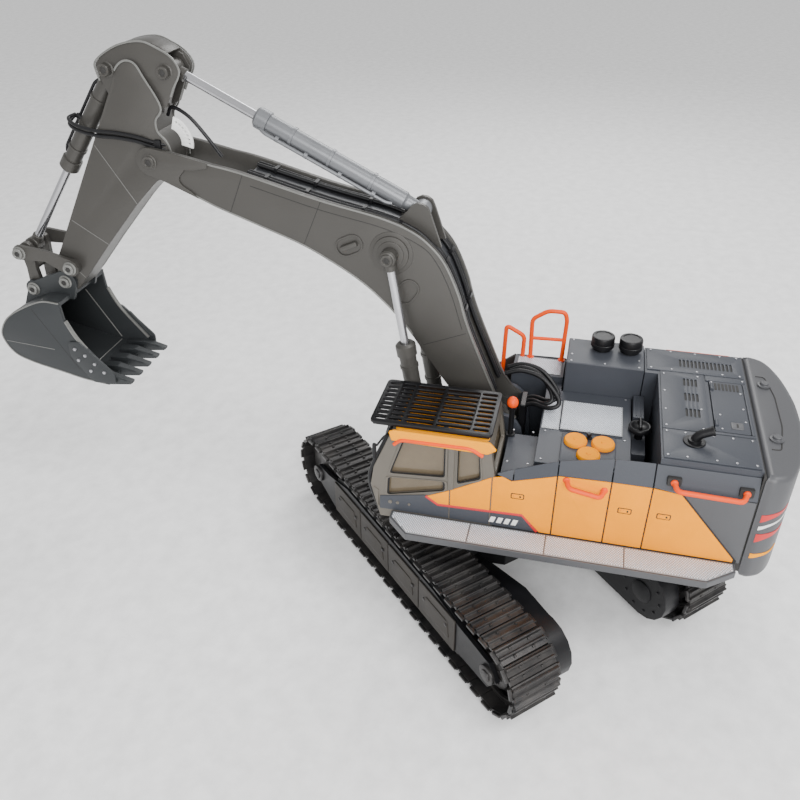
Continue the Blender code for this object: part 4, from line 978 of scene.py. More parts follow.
def cylinders():
    """All four rams, and the pipes on the stick's and the bucket's."""
    for suffix, sign in (("_left", 1), ("_right", -1)):
        ram("boom_cylinder", suffix, BOOM_CYLINDER_FOOT, BOOM_EYE, 86, 6.2, 3.0, ARM_X + sign * 27, 3.6,
                3.6, ARM, ("boom_barrel" + suffix, "boom_rod" + suffix))
    start, along = ram("stick_cylinder", "", STICK_CYLINDER_FOOT, STICK_EYE, 128, 6.2, 3.3, ARM_X, 5.6,
            3.2, STEEL, ("stick_barrel", "stick_rod"))
    up = Vector((0, -along.z, along.y))
    side = Vector((1, 0, 0))
    lift = (side * 0.8 + up * 0.6).normalized()
    pipe = [start + along * distance + lift * height for distance, height in ((20, 6.8), (24, 8.4),
            (112, 8.4), (117, 8.4), (121, 7))]
    pieces = [tube("pipe", rounded(pipe, 4), 1.3, resolution=4)]
    for distance in (34, 60, 86, 108):
        place = start + along * distance + lift * 7.6
        pieces.append(lathe("clip", place - along * 1.5, place + along * 1.5,
                [(0, 1.6), (0.3, 2.1), (2.7, 2.1), (3, 1.6)], 16))
    fit_joined("stick_cylinder_pipe", pieces, "stick_barrel", STEEL)
    start, along = ram("bucket_cylinder", "", BUCKET_CYLINDER_FOOT, LEVER_EYE, 92, 6.0, 3.0, ARM_X, 4.6,
            3.2, ARM, ("bucket_barrel", "bucket_rod"))
    up = Vector((0, along.z, -along.y))
    pipe = [start + along * distance + up * height for distance, height in ((16, 6), (20, 7.8), (76, 7.8),
            (80, 6))]
    feed = start + along * 50
    fitting = lathe("fitting", feed + up * 5, feed + up * 10.4, [(0, 2.8), (1.2, 2.8), (1.5, 2.1),
            (4.6, 2.1), (5.2, 1.7)], 20)
    fit_joined("bucket_cylinder_pipe", [tube("pipe", rounded(pipe, 3), 1.1), fitting], "bucket_barrel",
            HOSE)


def linkage():
    """Rocker levers, bucket link and their pins."""
    fit_refined("rocker_levers", "levers", ARM, 0.6, 3)
    fit_refined("bucket_link", "link", ARM, 0.6, 3)
    pieces, sockets = pin_pairs((LEVER_PIVOT, LEVER_EYE), 20.3, 23.2, PIN_R, 3.4)
    # Pin ends in the lighter paint: painted highlights.
    fit_joined("lever_pins", pieces, "levers", ARM_HIGHLIGHT)
    fit_joined("lever_pin_sockets", sockets, "levers", DARK_JOINT_AND_SHADE)
    pin = lathe("link_pin", (ARM_X - 12.4, *LINK_PIVOT), (ARM_X + 12.4, *LINK_PIVOT),
            [(0, 2.6), (0.4, 3), (24.4, 3), (24.8, 2.6)], 24)
    # The link pin in the lighter paint: painted highlight.
    fit(pin, "link", ARM_HIGHLIGHT)


BUCKET_WRAP = [(-363, 198), (-384, 189), (-399, 179), (-407.5, 166), (-406, 155), (-399, 146),
        (-384, 140), (-362, 135), (-340, 130)]


# (y, bottom, top, half width) of a bucket tooth, from its root to its tip
TOOTH_RINGS = ((-333, 127.6, 135.4, 3.9), (-319, 126.6, 136.6, 4.0), (-317.4, 127.2, 136.2, 3.1),
        (-305, 128.4, 133.2, 2.7), (-298.6, 129.3, 131.2, 2.1))


def bucket():
    """Side plates, wrapped floor, edges painted lighter as highlights, teeth, cutters, bolts, welds and
    pins.
    """
    fit_refined("bucket", "bucket_body", BUCKET, 0.4)
    back = curve([(-347, 198.3), (-363, 198.3), (-384.2, 189.2), (-399.3, 179.2), (-407.9, 166),
            (-406.3, 154.8), (-399.2, 145.7), (-384, 139.7), (-362, 134.7), (-340, 129.7), (-322, 127.9)],
            70)
    mouth = curve([(-316, 137), (-334, 159), (-341, 170), (-346, 182)], 20)
    pieces = side_pair([*back, *mouth], BUCKET_HALF - 2.7, BUCKET_HALF + 0.3)
    wrap = [*back, *reversed(offset_path(back, 3.4))]
    pieces.append(plate("wrap", wrap, ARM_X - BUCKET_HALF + 0.5, ARM_X + BUCKET_HALF - 0.5, "x",
            edge=0.2))
    fit_joined("bucket_shell", pieces, "bucket_body", BUCKET)
    # The mouth and back edges take the lighter paint: painted highlights.
    edges = side_pair(ribbon(list(reversed(mouth)), -1.2), BUCKET_HALF - 3, BUCKET_HALF + 0.7, 0.3)
    edges.extend(side_pair(ribbon(back, -1.1), BUCKET_HALF - 1, BUCKET_HALF + 0.6, 0.3))
    fit_joined("bucket_edges", edges, "bucket_body", ARM_HIGHLIGHT)
    pieces = []
    for index in range(5):
        x = ARM_X + (index - 2) * 14.4
        rings = [[(mm(x + u), mm(y), mm(z)) for u, z in ((-half, low), (half, low), (half, high),
                (-half, high))] for y, low, high, half in TOOTH_RINGS]
        pieces.append(soften(loft("tooth", rings), 0.5, 2))
    fit_joined("bucket_teeth", pieces, "bucket_body", BUCKET)

    def cutters(x, sign):
        outline = rounded_outline([(-346, 165), (-337, 166), (-310, 139), (-311, 129), (-332, 129.5),
                (-347, 152)], 3)
        return [plate("cutter", outline, *sorted((x - sign * 0.2, x + sign * 1.9)), "x", edge=0.5)]

    fit_joined("bucket_cutters", both_sides(BUCKET_HALF, cutters), "bucket_body", BUCKET)

    def bolts(x, sign):
        places = ((-341, 159), (-333, 154), (-326, 147), (-319, 140), (-340, 149), (-331, 140))
        return [disc("bolt", (x + sign * 1.9, *place), (sign, 0, 0), 1.5, 1.1, 0.3, 6)
                for place in places]

    fit_joined("bucket_bolts", both_sides(BUCKET_HALF, bolts), "bucket_body", BOLT)
    weld = []
    for sign in (1, -1):
        x = ARM_X + sign * (BUCKET_HALF - 4)
        route = smooth_route([(x, *point) for point in offset_path(BUCKET_WRAP, -0.1)], 50)
        weld.append(tube("weld", route, 0.5, resolution=2))
    for place in (2, 5):
        y, z = BUCKET_WRAP[place]
        weld.append(tube("weld", [(ARM_X - BUCKET_HALF + 1, y, z), (ARM_X + BUCKET_HALF - 1, y, z)], 0.6,
                resolution=2))
    far_wall = ARM_X - BUCKET_HALF + 3.1
    weld.append(tube("weld", [(far_wall, -366.5, 179), (far_wall, -341, 136)], 0.45, resolution=2))
    weld.append(tube("weld", [(ARM_X - 29, -341, 133.8), (ARM_X + 29, -341, 133.8)], 0.45, resolution=2))
    weld.extend(seams(BUCKET_HALF, [(-405, 158.4), (-361.5, 155.2)]))
    # Welds and raised plate lines in the lighter paint: painted highlights on their tops.
    fit_joined("bucket_welds", weld, "bucket_body", ARM_HIGHLIGHT)
    joint = seams(BUCKET_HALF, [(-373.1, 190.6), (-342.3, 138.6)])
    fit_joined("bucket_plate_joints", joint, "bucket_body", DARK_JOINT_AND_SHADE)
    pins, sockets = pin_pairs((BUCKET_PIVOT, LINK_PIVOT), 16.4, 18.9, PIN_R, 3.0)
    # Pin ends in the lighter paint: painted highlights.
    fit_joined("bucket_pins", pins, "bucket_body", ARM_HIGHLIGHT)
    fit_joined("bucket_pin_sockets", sockets, "bucket_body", DARK_JOINT_AND_SHADE)


def front_linkage():
    """Everything from the boom to the bucket."""
    boom()
    stick()
    cylinders()
    linkage()
    bucket()


# ---------------------------------------------------------------- superstructure
def slab(name, corners, thickness, edge=0.3):
    """A flat panel over any 3D corners, thickened against its outward normal."""
    shape = bmesh.new()
    face = shape.faces.new([shape.verts.new(Vector(corner) * MM) for corner in corners])
    face.normal_update()
    normal = face.normal.copy()
    made = bmesh.ops.extrude_face_region(shape, geom=[face])
    moved = [item for item in made["geom"] if isinstance(item, bmesh.types.BMVert)]
    bmesh.ops.translate(shape, vec=normal * -mm(thickness), verts=moved)
    return soften(from_bmesh(name, shape), edge)


def clipped(outline, low, high):
    """The part of a (u, v) outline between two u values."""
    for bound, keep in ((low, 1), (high, -1)):
        result = []
        for index, point in enumerate(outline):
            before = outline[index - 1]
            inside = (point[0] - bound) * keep >= 0
            if inside != ((before[0] - bound) * keep >= 0):
                share = (bound - before[0]) / (point[0] - before[0])
                result.append((bound, before[1] + share * (point[1] - before[1])))
            if inside:
                result.append(tuple(point))
        outline = result
    return outline


def contains(outline, u, v):
    """Whether a point lies inside a (u, v) outline."""
    inside = False
    for index, (u2, v2) in enumerate(outline):
        u1, v1 = outline[index - 1]
        if (v1 > v) != (v2 > v) and u < (u2 - u1) * (v - v1) / (v2 - v1) + u1:
            inside = not inside
    return inside


TREAD_PITCH = 2.4
TREAD_HEIGHT = 0.45


def tread(name, outline, z):
    """A sheet, and the small raised diamonds in staggered rows that closely cover it."""
    sheet = plate(name, outline, z - 0.3, z, "z", edge=0.1)
    shape = bmesh.new()
    us = [point[0] for point in outline]
    vs = [point[1] for point in outline]
    half_u, half_v = TREAD_PITCH * 0.4, TREAD_PITCH * 0.24
    for row in range(int((max(vs) - min(vs)) / (TREAD_PITCH * 0.36))):
        for column in range(int((max(us) - min(us)) / TREAD_PITCH) + 1):
            u = min(us) + (column + 0.5 * (row % 2)) * TREAD_PITCH
            v = min(vs) + (row + 1) * TREAD_PITCH * 0.36
            corners = ((u - half_u, v), (u, v - half_v), (u + half_u, v), (u, v + half_v))
            if not all(contains(outline, *corner) for corner in corners):
                continue
            rim = [shape.verts.new((mm(a), mm(b), mm(z - 0.02))) for a, b in corners]
            peak = shape.verts.new((mm(u), mm(v), mm(z + TREAD_HEIGHT)))
            for index in range(4):
                shape.faces.new((rim[index], rim[(index + 1) % 4], peak))
            shape.faces.new(list(reversed(rim)))
    return sheet, from_bmesh(name, shape)


def treads(name, sheets):
    """Tread plates: dark sheets with bright diamonds."""
    fit_joined(f"{name}_sheets", [sheet for sheet, raised in sheets], UPPER, TREAD_BASE)
    fit_joined(name, [raised for sheet, raised in sheets], UPPER, TREAD)


def screws(name, places, z):
    """Small domed screws standing on a level surface."""
    heads = [disc("screw", (x, y, z), (0, 0, 1), 0.85, 0.5, 0.25, 12) for x, y in places]
    fit_joined(name, heads, UPPER, BOLT)


NOSE = [(-39, 109), (-31, 103.6), (28, 105.6), (41, 91.5), (169, 91.5), (169, 94), (128, 142), (110, 144),
        (84, 144), (50, 143), (19, 133), (13, 136), (6, 134), (-23, 117)]
DOOR_EDGES = (-45, -23, 6, 49, 84, 110, 173.6)
DOOR_GAP = 0.45


def cut_panels(outline, spans, near, far, edge):
    """Flat panels cut from one side outline, one for each span, with a gap at either end."""
    return [plate("panel", clipped(outline, low + DOOR_GAP, high - DOOR_GAP), near, far, "x", edge=edge)
            for low, high in spans]


def left_side():
    """The left flank: yellow doors with a grey band above and a warm grey panel behind."""
    base = plate("side_cover_left_base", [(9, 84), (9, 133), (20, 132), (49, 142), (172.5, 143),
            (174.5, 84)], PANEL_X - 3, PANEL_X, "x")
    fit(base, UPPER, DARK_JOINT_AND_SHADE, "side_cover_left")
    face, proud = PANEL_X - 0.2, PANEL_X + 0.7
    doors = cut_panels(NOSE, zip(DOOR_EDGES, DOOR_EDGES[1:]), face, proud, 0.35)
    fit_joined("yellow_doors", doors, UPPER, YELLOW)
    low_nose = [(-74, 91.5), (-73.5, 103), (-41, 109.6), (-31.6, 101.8), (28.4, 103.8), (38, 91.5)]
    lower = cut_panels(low_nose, ((-80, -23), (-23, 6), (6, 49)), face, proud, 0.3)
    fit_joined("nose_panels", lower, UPPER, HOOD)
    rear = [(130, 141.6), (171, 93.4), (171, 91.5), (173.2, 91.5), (173.2, 143.6), (110.5, 144.8)]
    fit(plate("rear_side_panel", rear, face, proud, "x"), UPPER, WEIGHT)
    stripe = [(-40, 109), (-31.3, 102.7), (28.2, 104.7), (39.4, 91.6)]
    fit(plate("nose_stripe", band(stripe, 0.95), proud - 0.4, proud + 0.12, "x", edge=0.1), UPPER, RED)
    marks = []
    for index in range(4):
        y = 5.5 + index * 5.2
        marks.append(plate("mark", [(y, 94.5), (y + 3.4, 94.5), (y + 5, 99.5), (y + 1.6, 99.5)],
                proud - 0.2, proud + 0.12, "x", edge=0.1))
    fit_joined("nose_marks", marks, UPPER, WHITE)
    side_band(1)
    latches, slots = [], []
    for y, z in ((24, 121), (95, 122), (120, 122)):
        outline = rounded_outline(rectangle((y - 4.6, z - 2.4), (y + 4.6, z + 2.4)), 1.2)
        inside = rounded_outline(rectangle((y - 3.9, z - 1.7), (y + 3.9, z + 1.7)), 0.8)
        latches.append(plate("latch", inside, proud - 0.2, proud + 0.3, "x", edge=0.15))
        latches.append(disc("lock", (proud + 0.3, y - 1.8, z), (1, 0, 0), 1.1, 0.4, 0.1, 16))
        # The groove is a dark joint line; the small slot mark is painted shade in the latch's opening.
        slots.append(plate("groove", outline, proud - 0.2, proud + 0.06, "x", edge=0.05))
        slots.append(plate("slot", rounded_outline(rectangle((y + 1.2, z - 0.9), (y + 2.6, z + 0.9)),
                0.4), proud - 0.2, proud + 0.4, "x"))
    fit_joined("door_latches", latches, UPPER, YELLOW)
    fit_joined("latch_slots", slots, UPPER, DARK_JOINT_AND_SHADE)
    for name, y_low, y_high, z_low, z_high in (("grab_handle_front", 55, 80, 141, 137),
            ("grab_handle_rear", 122, 166, 151, 150)):
        foot = PANEL_X + 0.9
        route = rounded([(foot, y_low, z_low), (foot + 6, y_low + 2, z_low - 2),
                (foot + 6, y_high - 2, z_high - 2), (foot, y_high, z_high)], 3, 6)
        parts = [tube("handle", route, 1.75, resolution=5)]
        for y, z in ((y_low, z_low), (y_high, z_high)):
            parts.append(lathe("foot", (foot - 0.4, y, z), (foot + 1.4, y, z),
                    [(0, 2.3), (1.0, 2.3), (1.8, 1.4)], 20))
        fit_joined(name + "_finish", parts, UPPER, ORANGE, name)
    cups = []
    for y, z in ((122, 151), (166, 150)):
        cups.append(box("cup", (PANEL_X - 3, y - 4.5, z - 3.4), (PANEL_X + 0.5, y + 4.5, z + 3.0), 0.8))
    fit_joined("handle_cups", cups, UPPER, DARK_JOINT_AND_SHADE)


def side_band(sign):
    """The grey band that leans in from the doors to the hood's edge."""
    spans = [(84.4, 109.6, 144.3, 144.3, 159, 159.6), (110.4, 173.4, 144.6, 144.2, 159.6, 159.6),
            (49.4, 83.6, 143.6, 144.3, 153, 158.9)]
    if sign > 0:
        spans.append((20.5, 48.6, 133.8, 142.9, 141.5, 152.6))
        spans.append((9.4, 19.8, 137, 133.9, 138, 141.3))
    panels = []
    for y_low, y_high, z_a, z_b, z_c, z_d in spans:
        corners = [(sign * (PANEL_X + 0.6), y_low, z_a), (sign * (PANEL_X + 0.6), y_high, z_b),
                (sign * (PANEL_X + 0.6 - (z_d - z_b) * 0.38), y_high, z_d),
                (sign * (PANEL_X + 0.6 - (z_c - z_a) * 0.38), y_low, z_c)]
        panels.append(slab("band", corners if sign > 0 else list(reversed(corners)), 1.6))
    side = "left" if sign > 0 else "right"
    fit_joined(f"side_band_{side}", panels, UPPER, HOOD)


def right_side():
    """The right flank: grey doors with yellow insets and a louvre."""
    base = plate("side_cover_right_base", [(-28, 84), (-28, 119), (2, 142), (43, 142), (44, 143),
            (172.5, 143), (174.5, 84)], -PANEL_X, -PANEL_X + 3, "x")
    fit(base, UPPER, DARK_JOINT_AND_SHADE, "side_cover_right")
    profile = [(-28, 91.5), (-28, 119), (2, 142), (43, 143), (173.6, 143.6), (173.6, 91.5)]
    spans = zip((-28.5, 3, 44, 84, 128), (3, 44, 84, 128, 174))
    doors = cut_panels(profile, spans, -PANEL_X - 0.7, -PANEL_X + 0.2, 0.35)
    fit_joined("right_doors", doors, UPPER, HOOD)
    lower = []
    for low, high in ((3, 44), (44, 84), (84, 128), (128, 170)):
        lower.append(plate("inset", rounded_outline(rectangle((low + 4, 97), (high - 4, 136)), 2.5),
                -PANEL_X - 1.0, -PANEL_X - 0.4, "x", edge=0.25))
    fit_joined("right_insets", lower, UPPER, YELLOW)
    # Dark slot marks: painted shade in the louvre openings.
    slots = []
    for index in range(9):
        y = 92 + index * 3.4
        slots.append(plate("slot", obround((y, 104), (y, 128), 0.9), -PANEL_X - 1.15, -PANEL_X - 0.8, "x",
                edge=0.1))
    fit_joined("right_louvres", slots, UPPER, DARK_JOINT_AND_SHADE)
    side_band(-1)


def walkways():
    """The two walkways with their tread plates."""
    for side, sign in (("left", 1), ("right", -1)):
        fit_refined(f"walkway_{side}", UPPER, WEIGHT, 0.6)
        front = -65 if side == "left" else -26
        outline = [(80, front + 1.6), (85.4, front + 1.6), (99.6, front + 15.4), (99.6, 151.4),
                (86.4, 169.4), (80, 169.4)]
        sheets = []
        turned = [(y, x) for x, y in outline]
        edges = [front, -7, 46, 99, 172]
        for low, high in zip(edges, edges[1:]):
            part = [(sign * x, y) for y, x in clipped(turned, low + 0.25, high - 0.25)]
            sheets.append(tread("tread", part, WALK_Z + 0.25))
        treads(f"walkway_tread_{side}", sheets)


def deck():
    """Deck, boxes, caps, air cleaners, screws and the air duct."""
    fit_refined("centre_deck", UPPER, HOOD, 0.5)
    fit_refined("right_step_box", UPPER, HOOD, 0.5)
    fit_refined("right_tank_box", UPPER, HOOD, 0.9, 3)
    fit_refined("upper_frame", UPPER, HOOD, 0.4)
    sheets = [tread("tread", rectangle((-17, 46.4), (21, 90)), DECK_Z + 1.5),
            tread("tread", rectangle((-17, 33), (21, 45.4)), DECK_Z + 0.5),
            tread("tread", rectangle((-69.5, 6), (-46.5, 41)), 145.5)]
    treads("deck_treads", sheets)
    base = plate("cap_base", rounded_outline(rectangle((24.4, 48.4), (60, 86)), 2), DECK_Z + 0.3,
            DECK_Z + 1.6)
    fit(base, UPPER, HOOD, "filler_caps")
    caps = []
    for x, y in ((35, 58), (35, 77), (50, 67.5)):
        caps.append(lathe("cap", (x, y, DECK_Z + 1), (x, y, DECK_Z + 5),
                [(0, 8.1), (2.2, 8.1), (2.8, 7.7), (3.4, 7.4), (3.4, 6.6), (3.1, 6.3), (3.1, 1.6),
                (3.6, 1.3), (3.6, 0.4)], 40))
    fit_joined("filler_cap_discs", caps, UPPER, YELLOW)
    knob = lathe("sight_knob", (28, 67, DECK_Z + 1), (28, 67, DECK_Z + 6),
            [(0, 2.4), (1.4, 2.4), (1.8, 1.3), (3.2, 1.3), (3.6, 1.9), (4.6, 1.6), (4.8, 0.5)], 24)
    fit(knob, UPPER, BLACK)
    for index, y in enumerate((70.0, 91.0), start=1):
        cap = lathe(f"air_precleaner_{index}_finish", (-59, y, 166.4), (-59, y, 177),
                [(0, 7), (2.3, 7), (2.5, 8.5), (3.1, 8.9), (5.4, 8.9), (5.8, 8.5), (6.4, 8.5), (6.8, 8.9),
                (10.6, 8.8), (11.4, 8.4), (11.7, 7.6), (11.7, 6.4), (11.2, 6.2), (11.2, 0.6)], 48)
        fit(cap, UPPER, BLACK, f"air_precleaner_{index}")
    screws("deck_screws", [(-30, 36), (-30, 92), (24, 92), (58, 92), (58, 50), (58, 36), (24, 36),
            (28, 28), (66, 28), (66, 14), (28, 14)], DECK_Z)
    screws("tank_screws", [(-36, 48), (-36, 73), (-36, 98), (-69, 48), (-69, 98), (-46, 98), (-46, 48)],
            166.0)
    bay = [box("channel", (-32.2, 97, BASE_Z), (-2, 105, 144), 0.8), box("middle", (-2.5, 97, BASE_Z),
            (30, 107, 134), 0.8), box("low_end", (29.5, 97, BASE_Z), (62, 110.5, 128), 0.8)]
    for y in (99.4, 102.6):
        bay.append(box("rib", (-30, y - 0.4, 143.8), (-4, y + 0.4, 144.5), 0.2))
    fit_joined("air_duct_finish", bay, UPPER, HOOD, "air_duct")
    cap = [lathe("cap", (9, 102, 133.6), (9, 102, 146), [(0, 3), (7.2, 3), (7.4, 7.6), (7.8, 8.1),
            (10, 8.1), (10.6, 7.8), (11.2, 7), (11.2, 6), (10.4, 5.6), (10.4, 0.6)], 40),
            box("grip", (2.4, 100.9, 143.5), (15.6, 103.1, 147.6), 0.8)]
    fit_joined("service_cap", cap, UPPER, BLACK)


def louvre_row(places, length):
    """Slot outlines, each running across the machine from (x, y)."""
    return [obround((x, y), (x + length, y), 0.75, 6) for x, y in places]


def hood():
    """Engine hood: panels, louvres, hatch, exhaust and rail."""
    fit_refined("engine_hood", UPPER, HOOD, 0.6)
    shadows = [box("shadow", (-62, 126, HOOD_Z - 0.6), (-42, 168, HOOD_Z + 0.15), 0),
            box("shadow", (-32, 128, HOOD_Z - 0.6), (23, 140, HOOD_Z + 0.15), 0)]
    fit_joined("louvre_shadows", shadows, UPPER, DARK_JOINT_AND_SHADE)
    right_slots = louvre_row([(-57, 128.4 + 2.8 * index) for index in range(14)], 9.5)
    starts = [(x, 130 + 2.7 * index) for x in (-29.5, -9.5, 10.7) for index in range(4)]
    centre_slots = louvre_row(starts, 9)
    panels = [plate("panel", rectangle((-70.6, 104), (-38.6, 172.6)), HOOD_Z, HOOD_Z + 0.9, "z",
            right_slots, 0.2), plate("panel", rectangle((-37.8, 113.4), (37.4, 144.4)), HOOD_Z,
            HOOD_Z + 0.9, "z", centre_slots, 0.2), plate("panel", rectangle((38.2, 113.4), (70.6, 172.6)),
            HOOD_Z, HOOD_Z + 0.9, "z", [arc((50, 133), 3.8, 0, 345, 23)], 0.2),
            plate("panel", rectangle((-37.8, 145.2), (-30.8, 172.6)), HOOD_Z, HOOD_Z + 0.9),
            plate("panel", rectangle((34.8, 145.2), (37.4, 172.6)), HOOD_Z, HOOD_Z + 0.9),
            plate("panel", rectangle((-30.4, 170.6), (34.4, 172.6)), HOOD_Z, HOOD_Z + 0.9)]
    fit_joined("hood_panels", panels, UPPER, HOOD)
    places = [(x, y) for x in (-68, -41) for y in (107, 122, 140, 158, 170)]
    places += [(x, y) for x in (41, 68) for y in (116, 128, 146, 158, 170)]
    places += [(-34, 116), (-10, 116), (14, 116), (34, 116), (34, 140), (10, 140), (-34, 140), (-34, 171)]
    screws("hood_screws", places, HOOD_Z + 0.9)
    hatch()
    outer = [(50, 133, 156), (50, 133, 170), (50, 143, 175)]
    pipe = tube("exhaust_pipe_finish", rounded(outer, 8, 10), 3.0, resolution=6)
    fit(pipe, UPPER, BLACK, "exhaust_pipe")
    flange = [lathe("flange", (50, 133, HOOD_Z + 0.6), (50, 133, HOOD_Z + 4),
            [(0, 7.2), (0.9, 7.2), (1.2, 6.8), (1.2, 4.4), (2.6, 4.2), (2.8, 3.4)], 36),
            tube("lip", [(50, 142.6, 174.8), (50, 143.6, 175.3)], 3.5, resolution=6)]
    fit_joined("exhaust_flange", flange, UPPER, BLACK)
    # A dark disc inside the pipe's mouth: painted shade in the bore.
    fit(lathe("exhaust_bore", (50, 143.5, 175.25), (50, 144.5, 175.75), [(0, 2.4), (0.25, 2.4)], 24),
            UPPER, DARK_JOINT_AND_SHADE)
    foot = -PANEL_X - 1.6
    edge = rounded([(foot, 118, 154), (foot - 3.2, 119.5, 157), (foot - 3.2, 168.5, 157),
            (foot, 170, 154)], 2, 6)
    fit(tube("hood_rail_finish", edge, 1.35, resolution=5), UPPER, ORANGE, "hood_rail")


HATCH_LOW = (-30.0, 147.5)
HATCH_HIGH = (34.0, 170.0)


def hatch():
    """The battery hatch with its louvres, hinges and latch."""
    lid = plate("hood_hatch_finish", rounded_outline(rectangle(HATCH_LOW, HATCH_HIGH), 0.8), HOOD_Z - 0.8,
            HOOD_Z + 1.1, "z", edge=0.25)
    fit(lid, "hatch", HOOD, "hood_hatch")
    # Dark slot marks on the lid: painted shade in the louvre openings and the latch's slot.
    slots = [plate("slot", obround((-27, 151.5 + 2.5 * index), (-19, 151.5 + 2.5 * index), 0.8),
            HOOD_Z + 0.9, HOOD_Z + 1.2, "z", edge=0.05) for index in range(7)]
    slots.append(plate("slot", obround((24.5, 162), (27.5, 162), 0.6), HOOD_Z + 1.4, HOOD_Z + 1.75, "z",
            edge=0.05))
    fit_joined("hatch_slots", slots, "hatch", DARK_JOINT_AND_SHADE)
    latch = plate("hatch_latch", rounded_outline(rectangle((22, 158), (30, 166)), 1.2), HOOD_Z + 0.9,
            HOOD_Z + 1.55, "z")
    fit(latch, "hatch", WEIGHT)
    heads = [disc("screw", (x, y, HOOD_Z + 1.1), (0, 0, 1), 0.8, 0.5, 0.2, 12) for x,
            y in ((-16, 168), (-28.4, 149.2), (4, 168), (20, 168), (14, 152), (31, 152))]
    fit_joined("hatch_screws", heads, "hatch", BOLT)
    pins = [lathe("hinge", (x - 3.2, HATCH_LOW[1] + 1.2, HOOD_Z + 1.3),
            (x + 3.2, HATCH_LOW[1] + 1.2, HOOD_Z + 1.3), [(0, 0.9), (0.3, 1.3), (6.1, 1.3), (6.4, 0.9)],
            16) for x in (HATCH_LOW[0] + 9, HATCH_HIGH[0] - 9)]
    fit_joined("hatch_hinges", pins, "hatch", HOOD)


WEIGHT_OUTLINE = [(-76.6, 175), (-77.4, 182), (-70.5, 192), (-50, 200), (-22, 205), (0, 206), (22, 205),
        (50, 200), (70.5, 192), (77.4, 182), (76.6, 175)]


def swoosh(path, low, height, rise):
    """A thin tapering band on a flank that follows the (x, y) path and climbs along it."""
    rings = []
    for index, place in enumerate(path):
        share = index / (len(path) - 1)
        before = Vector(path[max(index - 1, 0)])
        along = (Vector(path[min(index + 1, len(path) - 1)]) - before).normalized()
        away = Vector((along.y, -along.x))
        away *= math.copysign(1.0, away.dot(Vector(place) - Vector((0, 150))))
        bottom = low + rise * share
        top = bottom + height * (1 - 0.85 * share)
        near, far = Vector(place) - away * 0.4, Vector(place) + away * 0.3
        rings.append([Vector((*spot, z)) * MM for spot, z in ((near, bottom), (far, bottom),
                (far, top), (near, top))])
    return loft("swoosh", rings)


def counterweight():
    """The counterweight with its groove, studs and coloured wedges."""
    outline = [(-76, 175), *[(p.x, p.y) for p in smooth_route([(x, y, 0) for x, y in WEIGHT_OUTLINE],
            60)], (76, 175)]
    body = plate("counterweight_finish", outline[1:-1], 78, HOOD_Z - 0.2, "z", edge=4.0)
    fit(body, UPPER, WEIGHT, "counterweight")
    groove = [(-46, 181.4), (-46, 187.6), (-20, 191.6), (18, 191.6), (46, 187.4), (46, 181.4)]
    lines = [tube("groove", rounded([(x, y, HOOD_Z - 0.2) for x, y in groove], 4, 5), 0.45, resolution=2)]
    fit_joined("weight_grooves", lines, UPPER, DARK_JOINT_AND_SHADE)
    studs = []
    for x in (-34, 34):
        studs.append(lathe("stud", (x, 186, HOOD_Z), (x, 186, HOOD_Z + 3),
                [(0, 4.6), (0.9, 4.6), (1.1, 3.2), (1.4, 2.9), (2.4, 2.9), (2.8, 2.4), (2.8, 1)], 28))
    fit_joined("lifting_studs", studs, UPPER, WEIGHT)
    flank = [point for point in outline if point[0] > 62 and point[1] > 177.5]
    if flank[0][0] < flank[-1][0]:
        flank.reverse()
    for name, material, low, height, rise in (("swoosh_upper", RED, 128, 6, 8),
            ("swoosh_middle", RED, 111, 7, 8), ("swoosh_lower", TRIM, 97, 4, 4),
            ("swoosh_white", WHITE, 121.5, 3, 8)):
        bands = [swoosh([(sign * x, y) for x, y in flank], low, height, rise) for sign in (1, -1)]
        fit_joined(name, bands, UPPER, material)
    gap = [plate("gap", rectangle((-75.6, 173.6), (75.6, 175.4)), 86, HOOD_Z - 1.5, "z")]
    fit_joined("weight_joint", gap, UPPER, DARK_JOINT_AND_SHADE)


SIDE_WINDOWS = ([(-66, 125), (-56, 155), (-27, 155), (-27, 128)], [(-68, 105), (-67, 121), (-27, 124),
        (-27, 116)], [(-18, 124), (-18, 155), (-4, 155), (-2, 131)])


def grown(outline, amount):
    """The outline moved outward, away from its middle."""
    middle = sum((Vector(point) for point in outline), Vector((0, 0))) / len(outline)
    result = []
    for point in outline:
        away = Vector(point) - middle
        result.append(tuple(middle + away * (1 + amount / away.length)))
    return result


